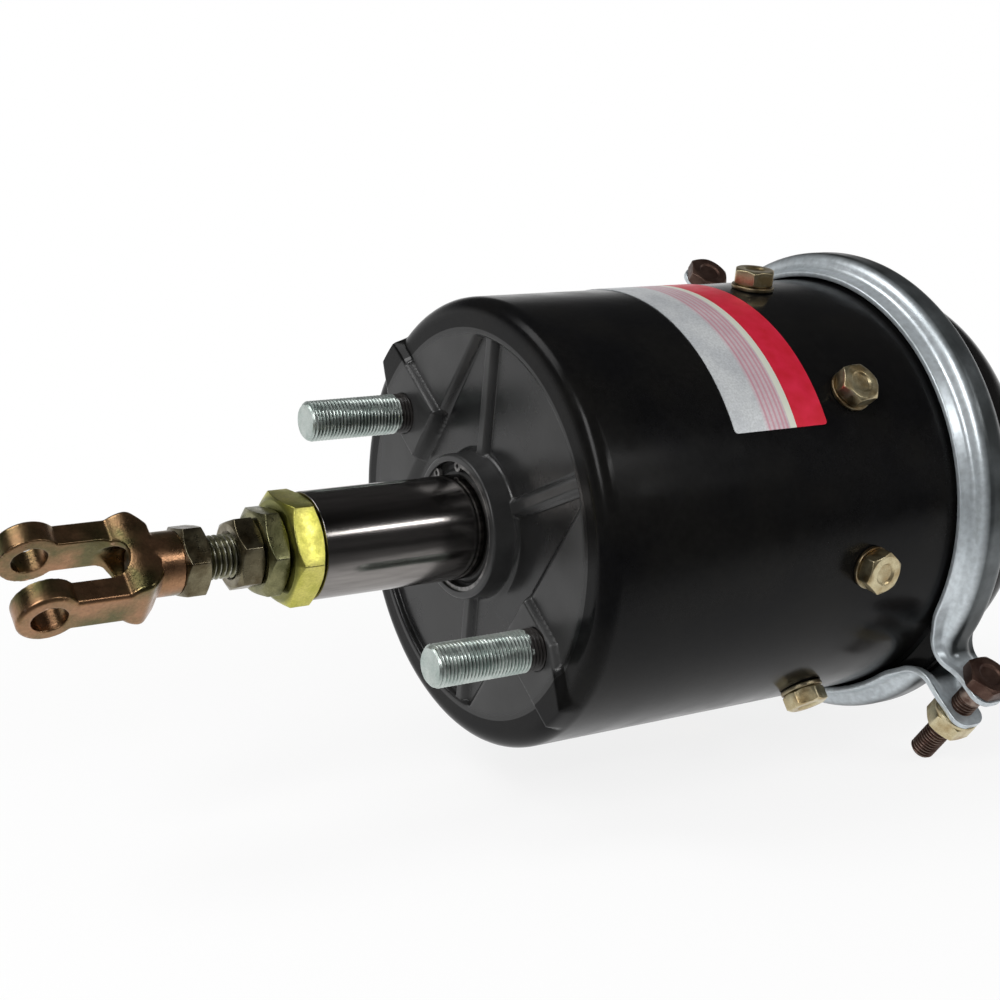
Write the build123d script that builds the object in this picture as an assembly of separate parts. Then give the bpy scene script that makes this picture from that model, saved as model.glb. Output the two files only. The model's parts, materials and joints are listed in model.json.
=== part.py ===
from build123d import *
from math import cos, radians, sin, sqrt
import os

# Air brake chamber: a long drum with two mounting studs, a guided tubular push rod with a
# yoke, a rolling diaphragm and return spring inside, and a domed rear cover held by a
# two-piece V clamp. Millimetres. X runs along the push rod's axis towards the rear cover,
# Z is up, and the origin is the centre of the mounting face. A roll angle is counted from
# straight down (-Z) towards -Y.

# Roll angles, in degrees
STUD_ANGLE = 50.5
CLAMP_ANGLE = 49.0
YOKE_ANGLE = 48.0
RING_BOLT_ANGLE = 34.4
RIB_TURN = 60.0
DRAIN_ANGLE = 340.0
CIRCLIP_ANGLE = 197.0
CAP_TURN = 38.0
CAP_HEX_TURN = 30.0
LOCK_NUT_TURN = 12.0
JAM_NUT_TURN = 24.0

# Fits, gaps and the overrun of a cutting solid
RUNNING_CLEARANCE = 0.05
PRESS_GAP = 0.02
BOLT_HOLE_CLEARANCE = 0.3
LAID_GAP = 0.03
SEAT_GAP = 0.01
OVERRUN = 1.0
STROKE = 63.5

# Drum, from the mounting face to the clamped joint
DRUM_R = 87.0
DRUM_WALL = 3.5
JOINT_X = 182.0
RIM_X = 3.0
RIM_ROUND = 7.0
RIM_WIDTH = 14.0
RIM_EDGE_ROUND = 2.0
FACE_RECESS = 3.0
FACE_ROUND = 0.9
PLATE_THICKNESS = 6.0
INNER_ROUND = 4.0
FLANGE_HEIGHT = 8.0
FLANGE_STEP = 1.0
FLANGE_FLARE = 2.0
FLANGE_EDGE = 3.6
FLANGE_SLOPE = 20.0
FLANGE_ROUND = 2.0
BEAD_THICKNESS = 3.0
DRAIN_R = 4.0
DRAIN_FRONT_SETBACK = 12.0
DRAIN_REAR_SETBACK = 33.0

# Mounting studs and the raised parts of the front face
STUD_SPACING = 120.65
STUD_R = 8.0
STUD_LENGTH = 44.0
STUD_SHOULDER = 0.5
STUD_CHAMFER = 1.4
STUD_HEAD_FLATS = 24.0
STUD_HEAD_HEIGHT = 8.0
STUD_BOSS_INNER = 43.0
STUD_BOSS_WIDE_SIDE = 18.0
STUD_BOSS_NARROW_SIDE = 10.0
STUD_BOSS_CUT_ACROSS = 14.0
STUD_BOSS_CUT_ALONG = 21.0
STUD_BOSS_MARGIN = 1.0
RIB_WIDTH = 5.0
RIB_DROP = 0.6
ROOT_OVERLAP = 1.0

# Push rod
TUBE_R = 20.0
TUBE_WALL = 4.0
TUBE_REACH = 69.5
PLUG_LENGTH = 24.0
CAP_FLATS = 38.0
CAP_HEIGHT = 12.0
CAP_HEX_FLATS = 30.0
CAP_HEX_HEIGHT = 8.5
ROD_R = 8.0
ROD_CHAMFER = 1.2
ROD_IN_YOKE = 16.0
ROD_IN_TUBE = 22.0
NUT_FLATS = 24.0
LOCK_NUT_HEIGHT = 9.3
BARE_THREAD = 11.1
JAM_NUT_HEIGHT = 9.6

# Collar, bush, wiper and circlip round the push tube
BUSH_WALL = 5.0
COLLAR_WALL = 3.0
COLLAR_FRONT_X = -5.0
COLLAR_ROUND = 1.0
COLLAR_ROOT_ROUND = 2.0
INNER_BOSS_WALL = 5.0
INNER_BOSS_DEPTH = 18.0
CIRCLIP_THICKNESS = 1.5
CIRCLIP_INSET = 0.9
CIRCLIP_GROOVE_DEPTH = 1.0
CIRCLIP_WIDTH = 2.6
CIRCLIP_GAP = 34.0
CIRCLIP_EYE_TURN = 20.0
CIRCLIP_EYE_R = 2.1
CIRCLIP_EYE_INSET = 0.1
CIRCLIP_EYE_HOLE_R = 0.9
WIPER_LENGTH = 6.5
WIPER_LIP = 1.0
WIPER_CHANNEL = 1.2
WIPER_DEPTH = 1.5

# Piston, diaphragm and spring
ROLL_SPACE = 15.5
ROLL_CLEARANCE = 0.65
PISTON_SKIRT = 4.0
PISTON_CROWN = 8.0
PISTON_LENGTH = 46.0
PISTON_ROUND = 6.0
PISTON_HUB_WALL = 8.0
PISTON_HUB_LENGTH = 14.0
PISTON_WEB = 7.0
PISTON_REAR_GAP = 2.0
DIAPHRAGM_THICKNESS = 2.4
DIAPHRAGM_GAP = 0.1
BEAD_MARGIN = 0.5
PISTON_PLATE_R = 50.0
PISTON_PLATE_THICKNESS = 2.0
PISTON_BOLT_R = 6.0
PISTON_BOLT_FLATS = 19.0
PISTON_BOLT_HEAD = 7.5
PISTON_BOLT_GRIP = 21.0
SPRING_WIRE_R = 3.0
SPRING_TURNS = 8.0
SPRING_SIDE_GAP = 3.0
SEAT_THICKNESS = 2.0
SEAT_MARGIN = 3.0
SEAT_LIP = 6.0

# Guide ring and its radial bolts
RING_BOLT_SETBACK = 55.0
RING_WIDTH = 20.0
RING_PISTON_GAP = 3.0
RING_GAP = 0.09
RING_BOLT_COUNT = 8
RING_BOLT_R = 5.0
RING_BOLT_FLATS = 15.0
RING_BOLT_HEAD = 6.4
RING_BOLT_SHORT = 2.0
RING_WASHER_R = 8.5
RING_WASHER_THICKNESS = 1.8

# Rear cover and its ports
COVER_WALL = 3.0
COVER_STEP = 4.0
COVER_DEPTH = 40.0
COVER_ROUND = 31.0
COVER_FLARE = 0.4
PORT_OFFSET = 32.0
PORT_ANGLES = (180.0, 0.0)
PORT_BOSS_R = 14.0
PORT_BOSS_HEIGHT = 8.0
PORT_SPIGOT_R = 11.0
PORT_BORE_R = 7.25
PLUG_FLATS = 22.0
PLUG_HEAD = 7.0
PLUG_WASHER_R = 11.5
PLUG_WASHER_THICKNESS = 1.5

# Clamp
BAND_THICKNESS = 2.5
BAND_BEND = 2.4
BAND_LIP = 6.0
BAND_LIP_GAP = 0.9
BAND_HEEL = 1.6
BAND_HEEL_GAP = 0.45
BAND_CROWN_GAP = 0.35
BAND_CROWN_SIDE_GAP = 0.15
BAND_SPLIT = 7.0
EAR_GAP = 12.0
EAR_THICKNESS = 3.0
EAR_WIDTH = 16.0
EAR_BEND = 6.0
EAR_REACH = 18.0
EAR_ROOT_GAP = 0.1
EAR_BEND_GAP = 0.9
EAR_EDGE = 9.0
CLAMP_BOLT_RISE = 19.65
CLAMP_BOLT_R = 5.0
CLAMP_BOLT_CHAMFER = 1.0
CLAMP_BOLT_FLATS = 17.0
CLAMP_BOLT_HEAD = 6.4
CLAMP_BOLT_TAIL = 38.0
CLAMP_NUT_HEIGHT = 8.0
CLAMP_WASHER_R = 9.5
CLAMP_WASHER_THICKNESS = 1.6

# Yoke
YOKE_REACH = 50.0
PIN_R = 6.4
EYE_R = 11.5
LEG_WIDTH = 15.0
LEG_THICKNESS = 9.0
LEG_CHAMFER = 1.0
JAW_GAP = 16.0
YOKE_NECK_R = 11.5
YOKE_NECK = 10.5
YOKE_SHOULDER = 4.5
YOKE_BASE = 12.0

# Label
LABEL_BOLT_GAP = 8.0
LABEL_WIDTH = 44.0
LABEL_ANGLES = (116.5, 190.0)
LABEL_THICKNESS = 0.35

# Places along X, worked out from the values above
MOUNT_X = 0.0
FLOOR_X = RIM_X + FACE_RECESS
PLATE_INNER_X = FLOOR_X + PLATE_THICKNESS
COLLAR_REAR_X = PLATE_INNER_X + INNER_BOSS_DEPTH
CIRCLIP_X = COLLAR_FRONT_X + CIRCLIP_INSET
WIPER_X = CIRCLIP_X + CIRCLIP_THICKNESS + 2 * LAID_GAP
BUSH_X = WIPER_X + WIPER_LENGTH + LAID_GAP
SEAT_REAR_X = PLATE_INNER_X + SEAT_THICKNESS
DRUM_END_X = JOINT_X - BEAD_THICKNESS / 2
COVER_START_X = JOINT_X + BEAD_THICKNESS / 2
COVER_REAR_X = JOINT_X + COVER_DEPTH
RING_BOLT_X = JOINT_X - RING_BOLT_SETBACK
RING_FRONT_X = RING_BOLT_X - RING_WIDTH / 2
RING_REAR_X = RING_BOLT_X + RING_WIDTH / 2
DRAIN_PLACES = (PLATE_INNER_X + DRAIN_FRONT_SETBACK, JOINT_X - DRAIN_REAR_SETBACK)
LABEL_REAR_X = RING_BOLT_X - RING_WASHER_R - LABEL_BOLT_GAP
LABEL_FRONT_X = LABEL_REAR_X - LABEL_WIDTH
PISTON_BOLT_X = COVER_REAR_X - COVER_WALL - PISTON_REAR_GAP - PISTON_BOLT_HEAD
PLATE_X = PISTON_BOLT_X - LAID_GAP - PISTON_PLATE_THICKNESS
CROWN_X = PLATE_X - LAID_GAP
PISTON_REAR_X = CROWN_X - DIAPHRAGM_THICKNESS - DIAPHRAGM_GAP
PISTON_FRONT_X = PISTON_REAR_X - PISTON_CROWN
TUBE_FRONT_X = MOUNT_X - TUBE_REACH
TUBE_REAR_X = PISTON_REAR_X - PISTON_WEB
CAP_END_X = TUBE_FRONT_X - CAP_HEIGHT
LOCK_NUT_REAR_X = CAP_END_X - CAP_HEX_HEIGHT
LOCK_NUT_X = LOCK_NUT_REAR_X - LOCK_NUT_HEIGHT
JAM_NUT_X = LOCK_NUT_X - BARE_THREAD - JAM_NUT_HEIGHT
YOKE_REAR_X = JAM_NUT_X - PRESS_GAP
PIN_X = JAM_NUT_X - YOKE_REACH

# Radii, worked out from the values above
DRUM_BORE_R = DRUM_R - DRUM_WALL
FLANGE_R = DRUM_R + FLANGE_HEIGHT
FLANGE_ROOT_R = DRUM_R + FLANGE_STEP
FLANGE_REACH = FLANGE_EDGE + (FLANGE_R - FLANGE_ROOT_R) * sin(radians(FLANGE_SLOPE))
STUD_BOSS_R = DRUM_R - STUD_BOSS_MARGIN
STUD_SHOULDER_R = STUD_R + STUD_SHOULDER
RIM_INNER_R = DRUM_R - RIM_WIDTH
TUBE_BORE_R = TUBE_R - TUBE_WALL
COLLAR_BORE_R = TUBE_R + BUSH_WALL
COLLAR_R = COLLAR_BORE_R + COLLAR_WALL
CIRCLIP_GROOVE_R = COLLAR_BORE_R + CIRCLIP_GROOVE_DEPTH
INNER_BOSS_R = COLLAR_BORE_R + INNER_BOSS_WALL
SEAT_BORE_R = INNER_BOSS_R + LAID_GAP
SPRING_R = SEAT_BORE_R + SEAT_THICKNESS + SPRING_SIDE_GAP + SPRING_WIRE_R
SEAT_R = SPRING_R + SPRING_WIRE_R + SEAT_MARGIN
PISTON_R = DRUM_BORE_R - ROLL_SPACE
PISTON_HUB_R = TUBE_R + PISTON_HUB_WALL
PISTON_HOLE_R = PISTON_BOLT_R + BOLT_HOLE_CLEARANCE
RING_BORE_R = PISTON_R + RING_PISTON_GAP
RING_BOLT_TIP_R = RING_BORE_R + RING_BOLT_SHORT
WALL_LEG_R = DRUM_BORE_R - 2 * DIAPHRAGM_GAP
PISTON_LEG_R = PISTON_R + DIAPHRAGM_GAP
ROLL_R = (WALL_LEG_R - PISTON_LEG_R) / 2
ROLL_X = RING_REAR_X + ROLL_R + STROKE / 2 + ROLL_CLEARANCE
COVER_R = DRUM_R - COVER_STEP
COVER_BORE_R = COVER_R - COVER_WALL
CROWN_R = FLANGE_R + BAND_CROWN_GAP
CLAMP_BOLT_RADIUS = CROWN_R + CLAMP_BOLT_RISE
EAR_TIP_R = CLAMP_BOLT_RADIUS + EAR_EDGE


def rounded(face, spot, radius):
    """Round the corner of a flat face that lies nearest to spot."""
    target = Vector(*spot)
    vertex = face.vertices().sort_by(lambda v: (Vector(*v) - target).length)[0]
    return fillet(vertex, radius)


def turned(outline, rounds=()):
    """Solid turned about X from (x, radius) corners; rounds are (corner number, radius)."""
    face = make_face(Polyline(*outline, close=True))
    for corner, radius in rounds:
        face = rounded(face, outline[corner], radius)
    return revolve(face, Axis.X)


def ring(x_start, x_end, inner_r, outer_r):
    return turned([(x_start, inner_r), (x_start, outer_r), (x_end, outer_r), (x_end, inner_r)])


def rod(x_start, x_end, radius):
    return extrude(Plane.YZ.offset(x_start) * Circle(radius), x_end - x_start)


def post(radius, z_start, z_end):
    return extrude(Plane.XY.offset(z_start) * Circle(radius), z_end - z_start)


def hexagon(across_flats, height):
    """Hexagon prism standing on z = 0, its corners chamfered at both ends."""
    corner_r = across_flats / 2 / cos(radians(30))
    cut = corner_r - across_flats / 2
    prism = extrude(RegularPolygon(across_flats / 2, 6, major_radius=False), height)
    return prism & chamfer(post(corner_r, 0, height).edges(), length=cut / 2, length2=cut)


def nut(across_flats, height, bore_r):
    return hexagon(across_flats, height) - post(bore_r, -OVERRUN, height + OVERRUN)


def at_angle(shape, angle):
    """Turn a shape that was built towards +Z to a roll angle."""
    return Rot(180 - angle, 0, 0) * shape


def facing_x(shape, x):
    """Lay a shape that stands on z = 0 along +X, its foot at x."""
    return Pos(x, 0, 0) * Rot(0, 90, 0) * shape


def strip(points, thickness, bend):
    """Face of a bent strip: one side runs through the points, the other lies to their left."""
    line = [Vector(*point) for point in points]
    steps = [(b - a).normalized() for a, b in zip(line, line[1:])]
    lefts = [Vector(-step.Y, step.X) for step in steps]
    other = [line[0] + lefts[0] * thickness]
    corners = []
    for i in range(1, len(line) - 1):
        before, after = lefts[i - 1], lefts[i]
        across = (before + after) * (thickness / (1 + before.dot(after)))
        other.append(line[i] + across)
        left_turn = steps[i - 1].cross(steps[i]).Z > 0
        corners.append((line[i], bend + (thickness if left_turn else 0)))
        corners.append((other[-1], bend + (0 if left_turn else thickness)))
    other.append(line[-1] + lefts[-1] * thickness)
    face = make_face(Polyline(*line, *reversed(other), close=True))
    for spot, radius in corners:
        face = rounded(face, spot, radius)
    return face


def stud_place(side):
    return at_angle(Pos(0, 0, side * STUD_SPACING / 2), STUD_ANGLE)


def ring_bolt_angles():
    return [RING_BOLT_ANGLE + 360 * i / RING_BOLT_COUNT for i in range(RING_BOLT_COUNT)]


def flange_corners(end_x, side):
    """(x, radius) corners of a clamped flange, from its root to its sealing face."""
    return [
        (end_x - side * FLANGE_REACH, FLANGE_ROOT_R),
        (end_x - side * FLANGE_EDGE, FLANGE_R),
        (end_x, FLANGE_R),
    ]


def stud_boss_outline():
    """Boss around a stud, seen from the rear, with one outer corner cut away."""
    return make_face(Polyline(
        (-STUD_BOSS_WIDE_SIDE, STUD_BOSS_INNER),
        (-STUD_BOSS_WIDE_SIDE, DRUM_R),
        (STUD_BOSS_NARROW_SIDE - STUD_BOSS_CUT_ACROSS, DRUM_R),
        (STUD_BOSS_NARROW_SIDE, DRUM_R - STUD_BOSS_CUT_ALONG),
        (STUD_BOSS_NARROW_SIDE, STUD_BOSS_INNER), close=True))


def face_relief():
    """Raised pads, stud bosses and ribs on the drum's recessed front face."""
    foot = (Align.MIN, Align.CENTER, Align.MIN)
    disc = rod(MOUNT_X, PLATE_INNER_X, STUD_BOSS_R)
    rib_inner = COLLAR_BORE_R + ROOT_OVERLAP
    rib_outer = RIM_INNER_R + ROOT_OVERLAP
    reach = DRUM_R - STUD_BOSS_INNER
    boss = extrude(Plane.YZ.offset(MOUNT_X) * stud_boss_outline(), PLATE_INNER_X - MOUNT_X)
    relief = []
    for side in (0, 180):
        pad = Pos(RIM_X, 0, STUD_BOSS_INNER) * Box(PLATE_THICKNESS, 2 * DRUM_R, reach, align=foot)
        pad = pad & rod(RIM_X, PLATE_INNER_X, DRUM_R - RIM_ROUND)
        relief.append(at_angle((boss & disc) + pad, STUD_ANGLE + side))
        for turn in (-RIB_TURN, RIB_TURN):
            rib = Pos(RIM_X + RIB_DROP, 0, rib_inner) * Box(
                PLATE_THICKNESS, RIB_WIDTH, rib_outer - rib_inner, align=foot)
            relief.append(at_angle(rib, STUD_ANGLE + side + turn))
    return relief


def circlip_groove():
    return ring(CIRCLIP_X - LAID_GAP, CIRCLIP_X + CIRCLIP_THICKNESS + LAID_GAP,
                COLLAR_BORE_R - OVERRUN, CIRCLIP_GROOVE_R)


def drum_body():
    flange = flange_corners(DRUM_END_X, 1)
    outline = [
        (COLLAR_FRONT_X, COLLAR_BORE_R),
        (COLLAR_FRONT_X, COLLAR_R),
        (FLOOR_X, COLLAR_R),
        (FLOOR_X, RIM_INNER_R),
        (RIM_X, RIM_INNER_R),
        (RIM_X, DRUM_R),
        (flange[0][0] - FLANGE_FLARE, DRUM_R),
        *flange,
        (DRUM_END_X, DRUM_BORE_R),
        (PLATE_INNER_X, DRUM_BORE_R),
        (PLATE_INNER_X, INNER_BOSS_R),
        (COLLAR_REAR_X, INNER_BOSS_R),
        (COLLAR_REAR_X, COLLAR_BORE_R),
    ]
    rounds = [
        (1, COLLAR_ROUND), (2, COLLAR_ROOT_ROUND), (3, FACE_ROUND), (4, RIM_EDGE_ROUND),
        (5, RIM_ROUND), (8, FLANGE_ROUND), (11, INNER_ROUND)]
    body = turned(outline, rounds)
    for raised in face_relief():
        body += raised
    body -= circlip_groove()
    for side in (1, -1):
        hole = rod(MOUNT_X - OVERRUN, PLATE_INNER_X + OVERRUN, STUD_SHOULDER_R + RUNNING_CLEARANCE)
        body -= stud_place(side) * hole
    for angle in ring_bolt_angles():
        hole = post(RING_BOLT_R + BOLT_HOLE_CLEARANCE, RING_BORE_R, DRUM_R + OVERRUN)
        body -= at_angle(Pos(RING_BOLT_X, 0, 0) * hole, angle)
    for x in DRAIN_PLACES:
        hole = post(DRAIN_R, DRUM_BORE_R - DRAIN_R, DRUM_R + OVERRUN)
        body -= at_angle(Pos(x, 0, 0) * hole, DRAIN_ANGLE)
    return body


def wiper_circlip():
    """Internal circlip in the collar, with an eye on each side of its gap."""
    end = CIRCLIP_X + CIRCLIP_THICKNESS
    outer_r = CIRCLIP_GROOVE_R - LAID_GAP
    inner_r = outer_r - CIRCLIP_WIDTH
    half_gap = radians(CIRCLIP_GAP / 2)
    reach = 2 * outer_r
    wedge = make_face(Polyline(
        (0, 0), (reach * sin(half_gap), reach * cos(half_gap)),
        (-reach * sin(half_gap), reach * cos(half_gap)), close=True))
    clip = ring(CIRCLIP_X, end, inner_r, outer_r)
    clip -= extrude(Plane.YZ.offset(CIRCLIP_X - OVERRUN) * wedge, CIRCLIP_THICKNESS + 2 * OVERRUN)
    for side in (-1, 1):
        place = Rot(side * CIRCLIP_EYE_TURN, 0, 0) * Pos(0, 0, inner_r + CIRCLIP_EYE_INSET)
        clip += place * rod(CIRCLIP_X, end, CIRCLIP_EYE_R)
        clip -= place * rod(CIRCLIP_X - OVERRUN, end + OVERRUN, CIRCLIP_EYE_HOLE_R)
    return at_angle(clip, CIRCLIP_ANGLE)


def rod_wiper():
    """Rubber ring whose open front channel makes a lip against the push tube."""
    bore_r = TUBE_R + RUNNING_CLEARANCE
    outer_r = COLLAR_BORE_R - PRESS_GAP
    outline = [
        (WIPER_X, bore_r),
        (WIPER_X, bore_r + WIPER_LIP),
        (WIPER_X + WIPER_DEPTH, bore_r + WIPER_LIP + WIPER_CHANNEL),
        (WIPER_X + WIPER_DEPTH, outer_r - WIPER_CHANNEL),
        (WIPER_X, outer_r),
        (WIPER_X + WIPER_LENGTH, outer_r),
        (WIPER_X + WIPER_LENGTH, bore_r),
    ]
    return turned(outline)


def rod_bush():
    return ring(BUSH_X, COLLAR_REAR_X, TUBE_R + RUNNING_CLEARANCE, COLLAR_BORE_R - PRESS_GAP)


def mounting_stud(side):
    """Stud with a shoulder through the plate and a hexagon head inside the drum."""
    shank = rod(MOUNT_X - STUD_LENGTH, PLATE_INNER_X, STUD_R)
    shank = chamfer(shank.edges().sort_by(Axis.X)[0], STUD_CHAMFER)
    shoulder = rod(MOUNT_X, PLATE_INNER_X + STUD_HEAD_HEIGHT / 2, STUD_SHOULDER_R)
    head = facing_x(hexagon(STUD_HEAD_FLATS, STUD_HEAD_HEIGHT), PLATE_INNER_X + SEAT_GAP)
    return stud_place(side) * (shank + shoulder + head)


def guide_ring():
    body = ring(RING_FRONT_X, RING_REAR_X, RING_BORE_R, DRUM_BORE_R - RING_GAP)
    for angle in ring_bolt_angles():
        hole = post(RING_BOLT_R + PRESS_GAP, RING_BORE_R - DRUM_WALL, DRUM_R)
        body -= at_angle(Pos(RING_BOLT_X, 0, 0) * hole, angle)
    return body


def ring_bolt_parts():
    """Radial bolts and washers round the drum, as two lists."""
    washer_foot = DRUM_R + LAID_GAP
    head_foot = washer_foot + RING_WASHER_THICKNESS
    bolts = []
    washers = []
    for angle in ring_bolt_angles():
        head = Pos(0, 0, head_foot) * Rot(0, 0, angle) * hexagon(RING_BOLT_FLATS, RING_BOLT_HEAD)
        bolt = head + post(RING_BOLT_R, RING_BOLT_TIP_R, head_foot)
        washer = post(RING_WASHER_R, washer_foot, head_foot - PRESS_GAP)
        washer -= post(RING_BOLT_R + BOLT_HOLE_CLEARANCE, DRUM_BORE_R, head_foot + OVERRUN)
        bolts.append(at_angle(Pos(RING_BOLT_X, 0, 0) * bolt, angle))
        washers.append(at_angle(Pos(RING_BOLT_X, 0, 0) * washer, angle))
    return bolts, washers


def push_tube():
    return ring(TUBE_FRONT_X, TUBE_REAR_X - PRESS_GAP, TUBE_BORE_R, TUBE_R)


def tube_front_plug():
    return ring(TUBE_FRONT_X, TUBE_FRONT_X + PLUG_LENGTH, ROD_R + PRESS_GAP,
                TUBE_BORE_R - PRESS_GAP)


def tube_rear_plug():
    rear = TUBE_REAR_X - PRESS_GAP
    return ring(rear - PLUG_LENGTH, rear, PISTON_BOLT_R + PRESS_GAP, TUBE_BORE_R - PRESS_GAP)


def tube_cap():
    """Large hexagon that closes the tube's front end."""
    body = nut(CAP_FLATS, CAP_HEIGHT - PRESS_GAP, ROD_R + PRESS_GAP)
    return facing_x(Rot(0, 0, CAP_TURN) * body, CAP_END_X)


def cap_hex():
    body = nut(CAP_HEX_FLATS, CAP_HEX_HEIGHT - PRESS_GAP, ROD_R + PRESS_GAP)
    return facing_x(Rot(0, 0, CAP_HEX_TURN) * body, LOCK_NUT_REAR_X)


def threaded_rod():
    body = rod(YOKE_REAR_X - ROD_IN_YOKE, TUBE_FRONT_X + ROD_IN_TUBE, ROD_R)
    return chamfer(body.edges().sort_by(Axis.X)[0], ROD_CHAMFER)


def lock_nut():
    body = nut(NUT_FLATS, LOCK_NUT_HEIGHT - PRESS_GAP, ROD_R + PRESS_GAP)
    return facing_x(Rot(0, 0, LOCK_NUT_TURN) * body, LOCK_NUT_X)


def jam_nut():
    body = nut(NUT_FLATS, JAM_NUT_HEIGHT, ROD_R + PRESS_GAP)
    return facing_x(Rot(0, 0, JAM_NUT_TURN) * body, JAM_NUT_X)


def yoke_side(full_x, half_span, shoulder_x):
    """Yoke seen across the pin: shoulders, and the slot between the legs."""
    tip_x = PIN_X - EYE_R - OVERRUN
    slot_x = full_x - YOKE_BASE
    outline = [
        (shoulder_x, YOKE_NECK_R), (full_x, half_span), (tip_x, half_span),
        (tip_x, -half_span), (full_x, -half_span), (shoulder_x, -YOKE_NECK_R)]
    face = make_face(Polyline(*outline, close=True))
    for sign in (1, -1):
        face = rounded(face, (full_x, sign * half_span), YOKE_SHOULDER)
    face -= Pos(slot_x, 0) * Circle(JAW_GAP / 2)
    return face - Pos((slot_x + tip_x) / 2, 0) * Rectangle(slot_x - tip_x, JAW_GAP)


def yoke_plan(full_x, shoulder_x):
    """Yoke seen along the pin: straight legs that end in round eyes."""
    leg_length = shoulder_x - PIN_X
    face = Pos(PIN_X, 0) * Circle(EYE_R)
    face += Pos(PIN_X + leg_length / 2, 0) * Rectangle(leg_length, LEG_WIDTH)
    return face + Pos(full_x + OVERRUN, 0) * Circle(YOKE_NECK_R)


def yoke():
    """Fork with two round eyes on one pin bore, built with the pin's axis along Z."""
    half_span = JAW_GAP / 2 + LEG_THICKNESS
    shoulder_x = YOKE_REAR_X - YOKE_NECK + ROOT_OVERLAP
    full_x = YOKE_REAR_X - YOKE_NECK - YOKE_SHOULDER
    side_view = extrude(Plane.XZ * yoke_side(full_x, half_span, shoulder_x), 2 * EYE_R, both=True)
    fork = side_view & extrude(yoke_plan(full_x, shoulder_x), 2 * half_span, both=True)
    top = fork.faces().sort_by(Axis.Z)[-1]
    bottom = fork.faces().sort_by(Axis.Z)[0]
    fork = chamfer(top.edges() + bottom.edges(), LEG_CHAMFER)
    fork += rod(YOKE_REAR_X - YOKE_NECK - LEG_CHAMFER, YOKE_REAR_X, YOKE_NECK_R)
    fork -= rod(full_x - YOKE_BASE, YOKE_REAR_X + OVERRUN, ROD_R + RUNNING_CLEARANCE)
    fork -= Pos(PIN_X, 0, 0) * post(PIN_R, -2 * half_span, 2 * half_span)
    return at_angle(fork, YOKE_ANGLE)


def piston():
    front = PISTON_REAR_X - PISTON_LENGTH
    hub_front = PISTON_FRONT_X - PISTON_HUB_LENGTH
    inner_r = PISTON_R - PISTON_SKIRT
    outline = [
        (PISTON_REAR_X, PISTON_HOLE_R),
        (PISTON_REAR_X, PISTON_R),
        (front, PISTON_R),
        (front, inner_r),
        (PISTON_FRONT_X, inner_r),
        (PISTON_FRONT_X, PISTON_HUB_R),
        (hub_front, PISTON_HUB_R),
        (hub_front, TUBE_R + PRESS_GAP),
        (TUBE_REAR_X, TUBE_R + PRESS_GAP),
        (TUBE_REAR_X, PISTON_HOLE_R),
    ]
    return turned(outline, [(1, PISTON_ROUND), (4, INNER_ROUND)])


def piston_plate():
    rear = PLATE_X + PISTON_PLATE_THICKNESS
    outline = [
        (PLATE_X, PISTON_HOLE_R),
        (PLATE_X, PISTON_PLATE_R),
        (rear, PISTON_PLATE_R),
        (rear, PISTON_HOLE_R),
    ]
    return turned(outline, [(2, PISTON_PLATE_THICKNESS / 2)])


def piston_bolt():
    head_middle = PISTON_BOLT_X + PISTON_BOLT_HEAD / 2
    shank = rod(TUBE_REAR_X - PISTON_BOLT_GRIP, head_middle, PISTON_BOLT_R)
    return shank + facing_x(hexagon(PISTON_BOLT_FLATS, PISTON_BOLT_HEAD), PISTON_BOLT_X)


def section_box(x_start, x_end, r_start, r_end):
    """Rectangle between two places along X and two radii."""
    return Pos((x_start + x_end) / 2, (r_start + r_end) / 2) * Rectangle(
        x_end - x_start, r_end - r_start)


def diaphragm():
    """Rolling diaphragm: clamped bead, wall leg, roll, piston leg and crown."""
    thickness = DIAPHRAGM_THICKNESS
    corner_x = PISTON_REAR_X - PISTON_ROUND
    corner_r = PISTON_R - PISTON_ROUND
    corner_inner = PISTON_ROUND + DIAPHRAGM_GAP
    half_bead = BEAD_THICKNESS / 2 - LAID_GAP
    section = section_box(JOINT_X - half_bead, JOINT_X + half_bead, WALL_LEG_R - thickness,
                          FLANGE_R - BEAD_MARGIN)
    section += section_box(ROLL_X, JOINT_X, WALL_LEG_R - thickness, WALL_LEG_R)
    roll = Circle(ROLL_R) - Circle(ROLL_R - thickness)
    roll -= section_box(0, 2 * ROLL_R, -2 * ROLL_R, 2 * ROLL_R)
    section += Pos(ROLL_X, (WALL_LEG_R + PISTON_LEG_R) / 2) * roll
    section += section_box(ROLL_X, corner_x, PISTON_LEG_R, PISTON_LEG_R + thickness)
    corner = Circle(corner_inner + thickness) - Circle(corner_inner)
    corner = corner & section_box(0, 2 * PISTON_ROUND, 0, 2 * PISTON_ROUND)
    section += Pos(corner_x, corner_r) * corner
    section += section_box(CROWN_X - thickness, CROWN_X, PISTON_HOLE_R, corner_r)
    return revolve(section, Axis.X)


def spring_seat():
    """Dished plate under the spring, cut back wherever a stud's head would reach it."""
    front = PLATE_INNER_X + SEAT_GAP
    lip_r = SEAT_BORE_R + SEAT_THICKNESS
    outline = [
        (front, SEAT_BORE_R),
        (front, SEAT_R),
        (SEAT_REAR_X, SEAT_R),
        (SEAT_REAR_X, lip_r),
        (SEAT_REAR_X + SEAT_LIP, lip_r),
        (SEAT_REAR_X + SEAT_LIP, SEAT_BORE_R),
    ]
    seat = turned(outline)
    head_room = STUD_HEAD_FLATS / 2 / cos(radians(30)) + BOLT_HOLE_CLEARANCE
    for side in (1, -1):
        seat -= stud_place(side) * rod(front - OVERRUN, SEAT_REAR_X + OVERRUN, head_room)
    return seat


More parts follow.
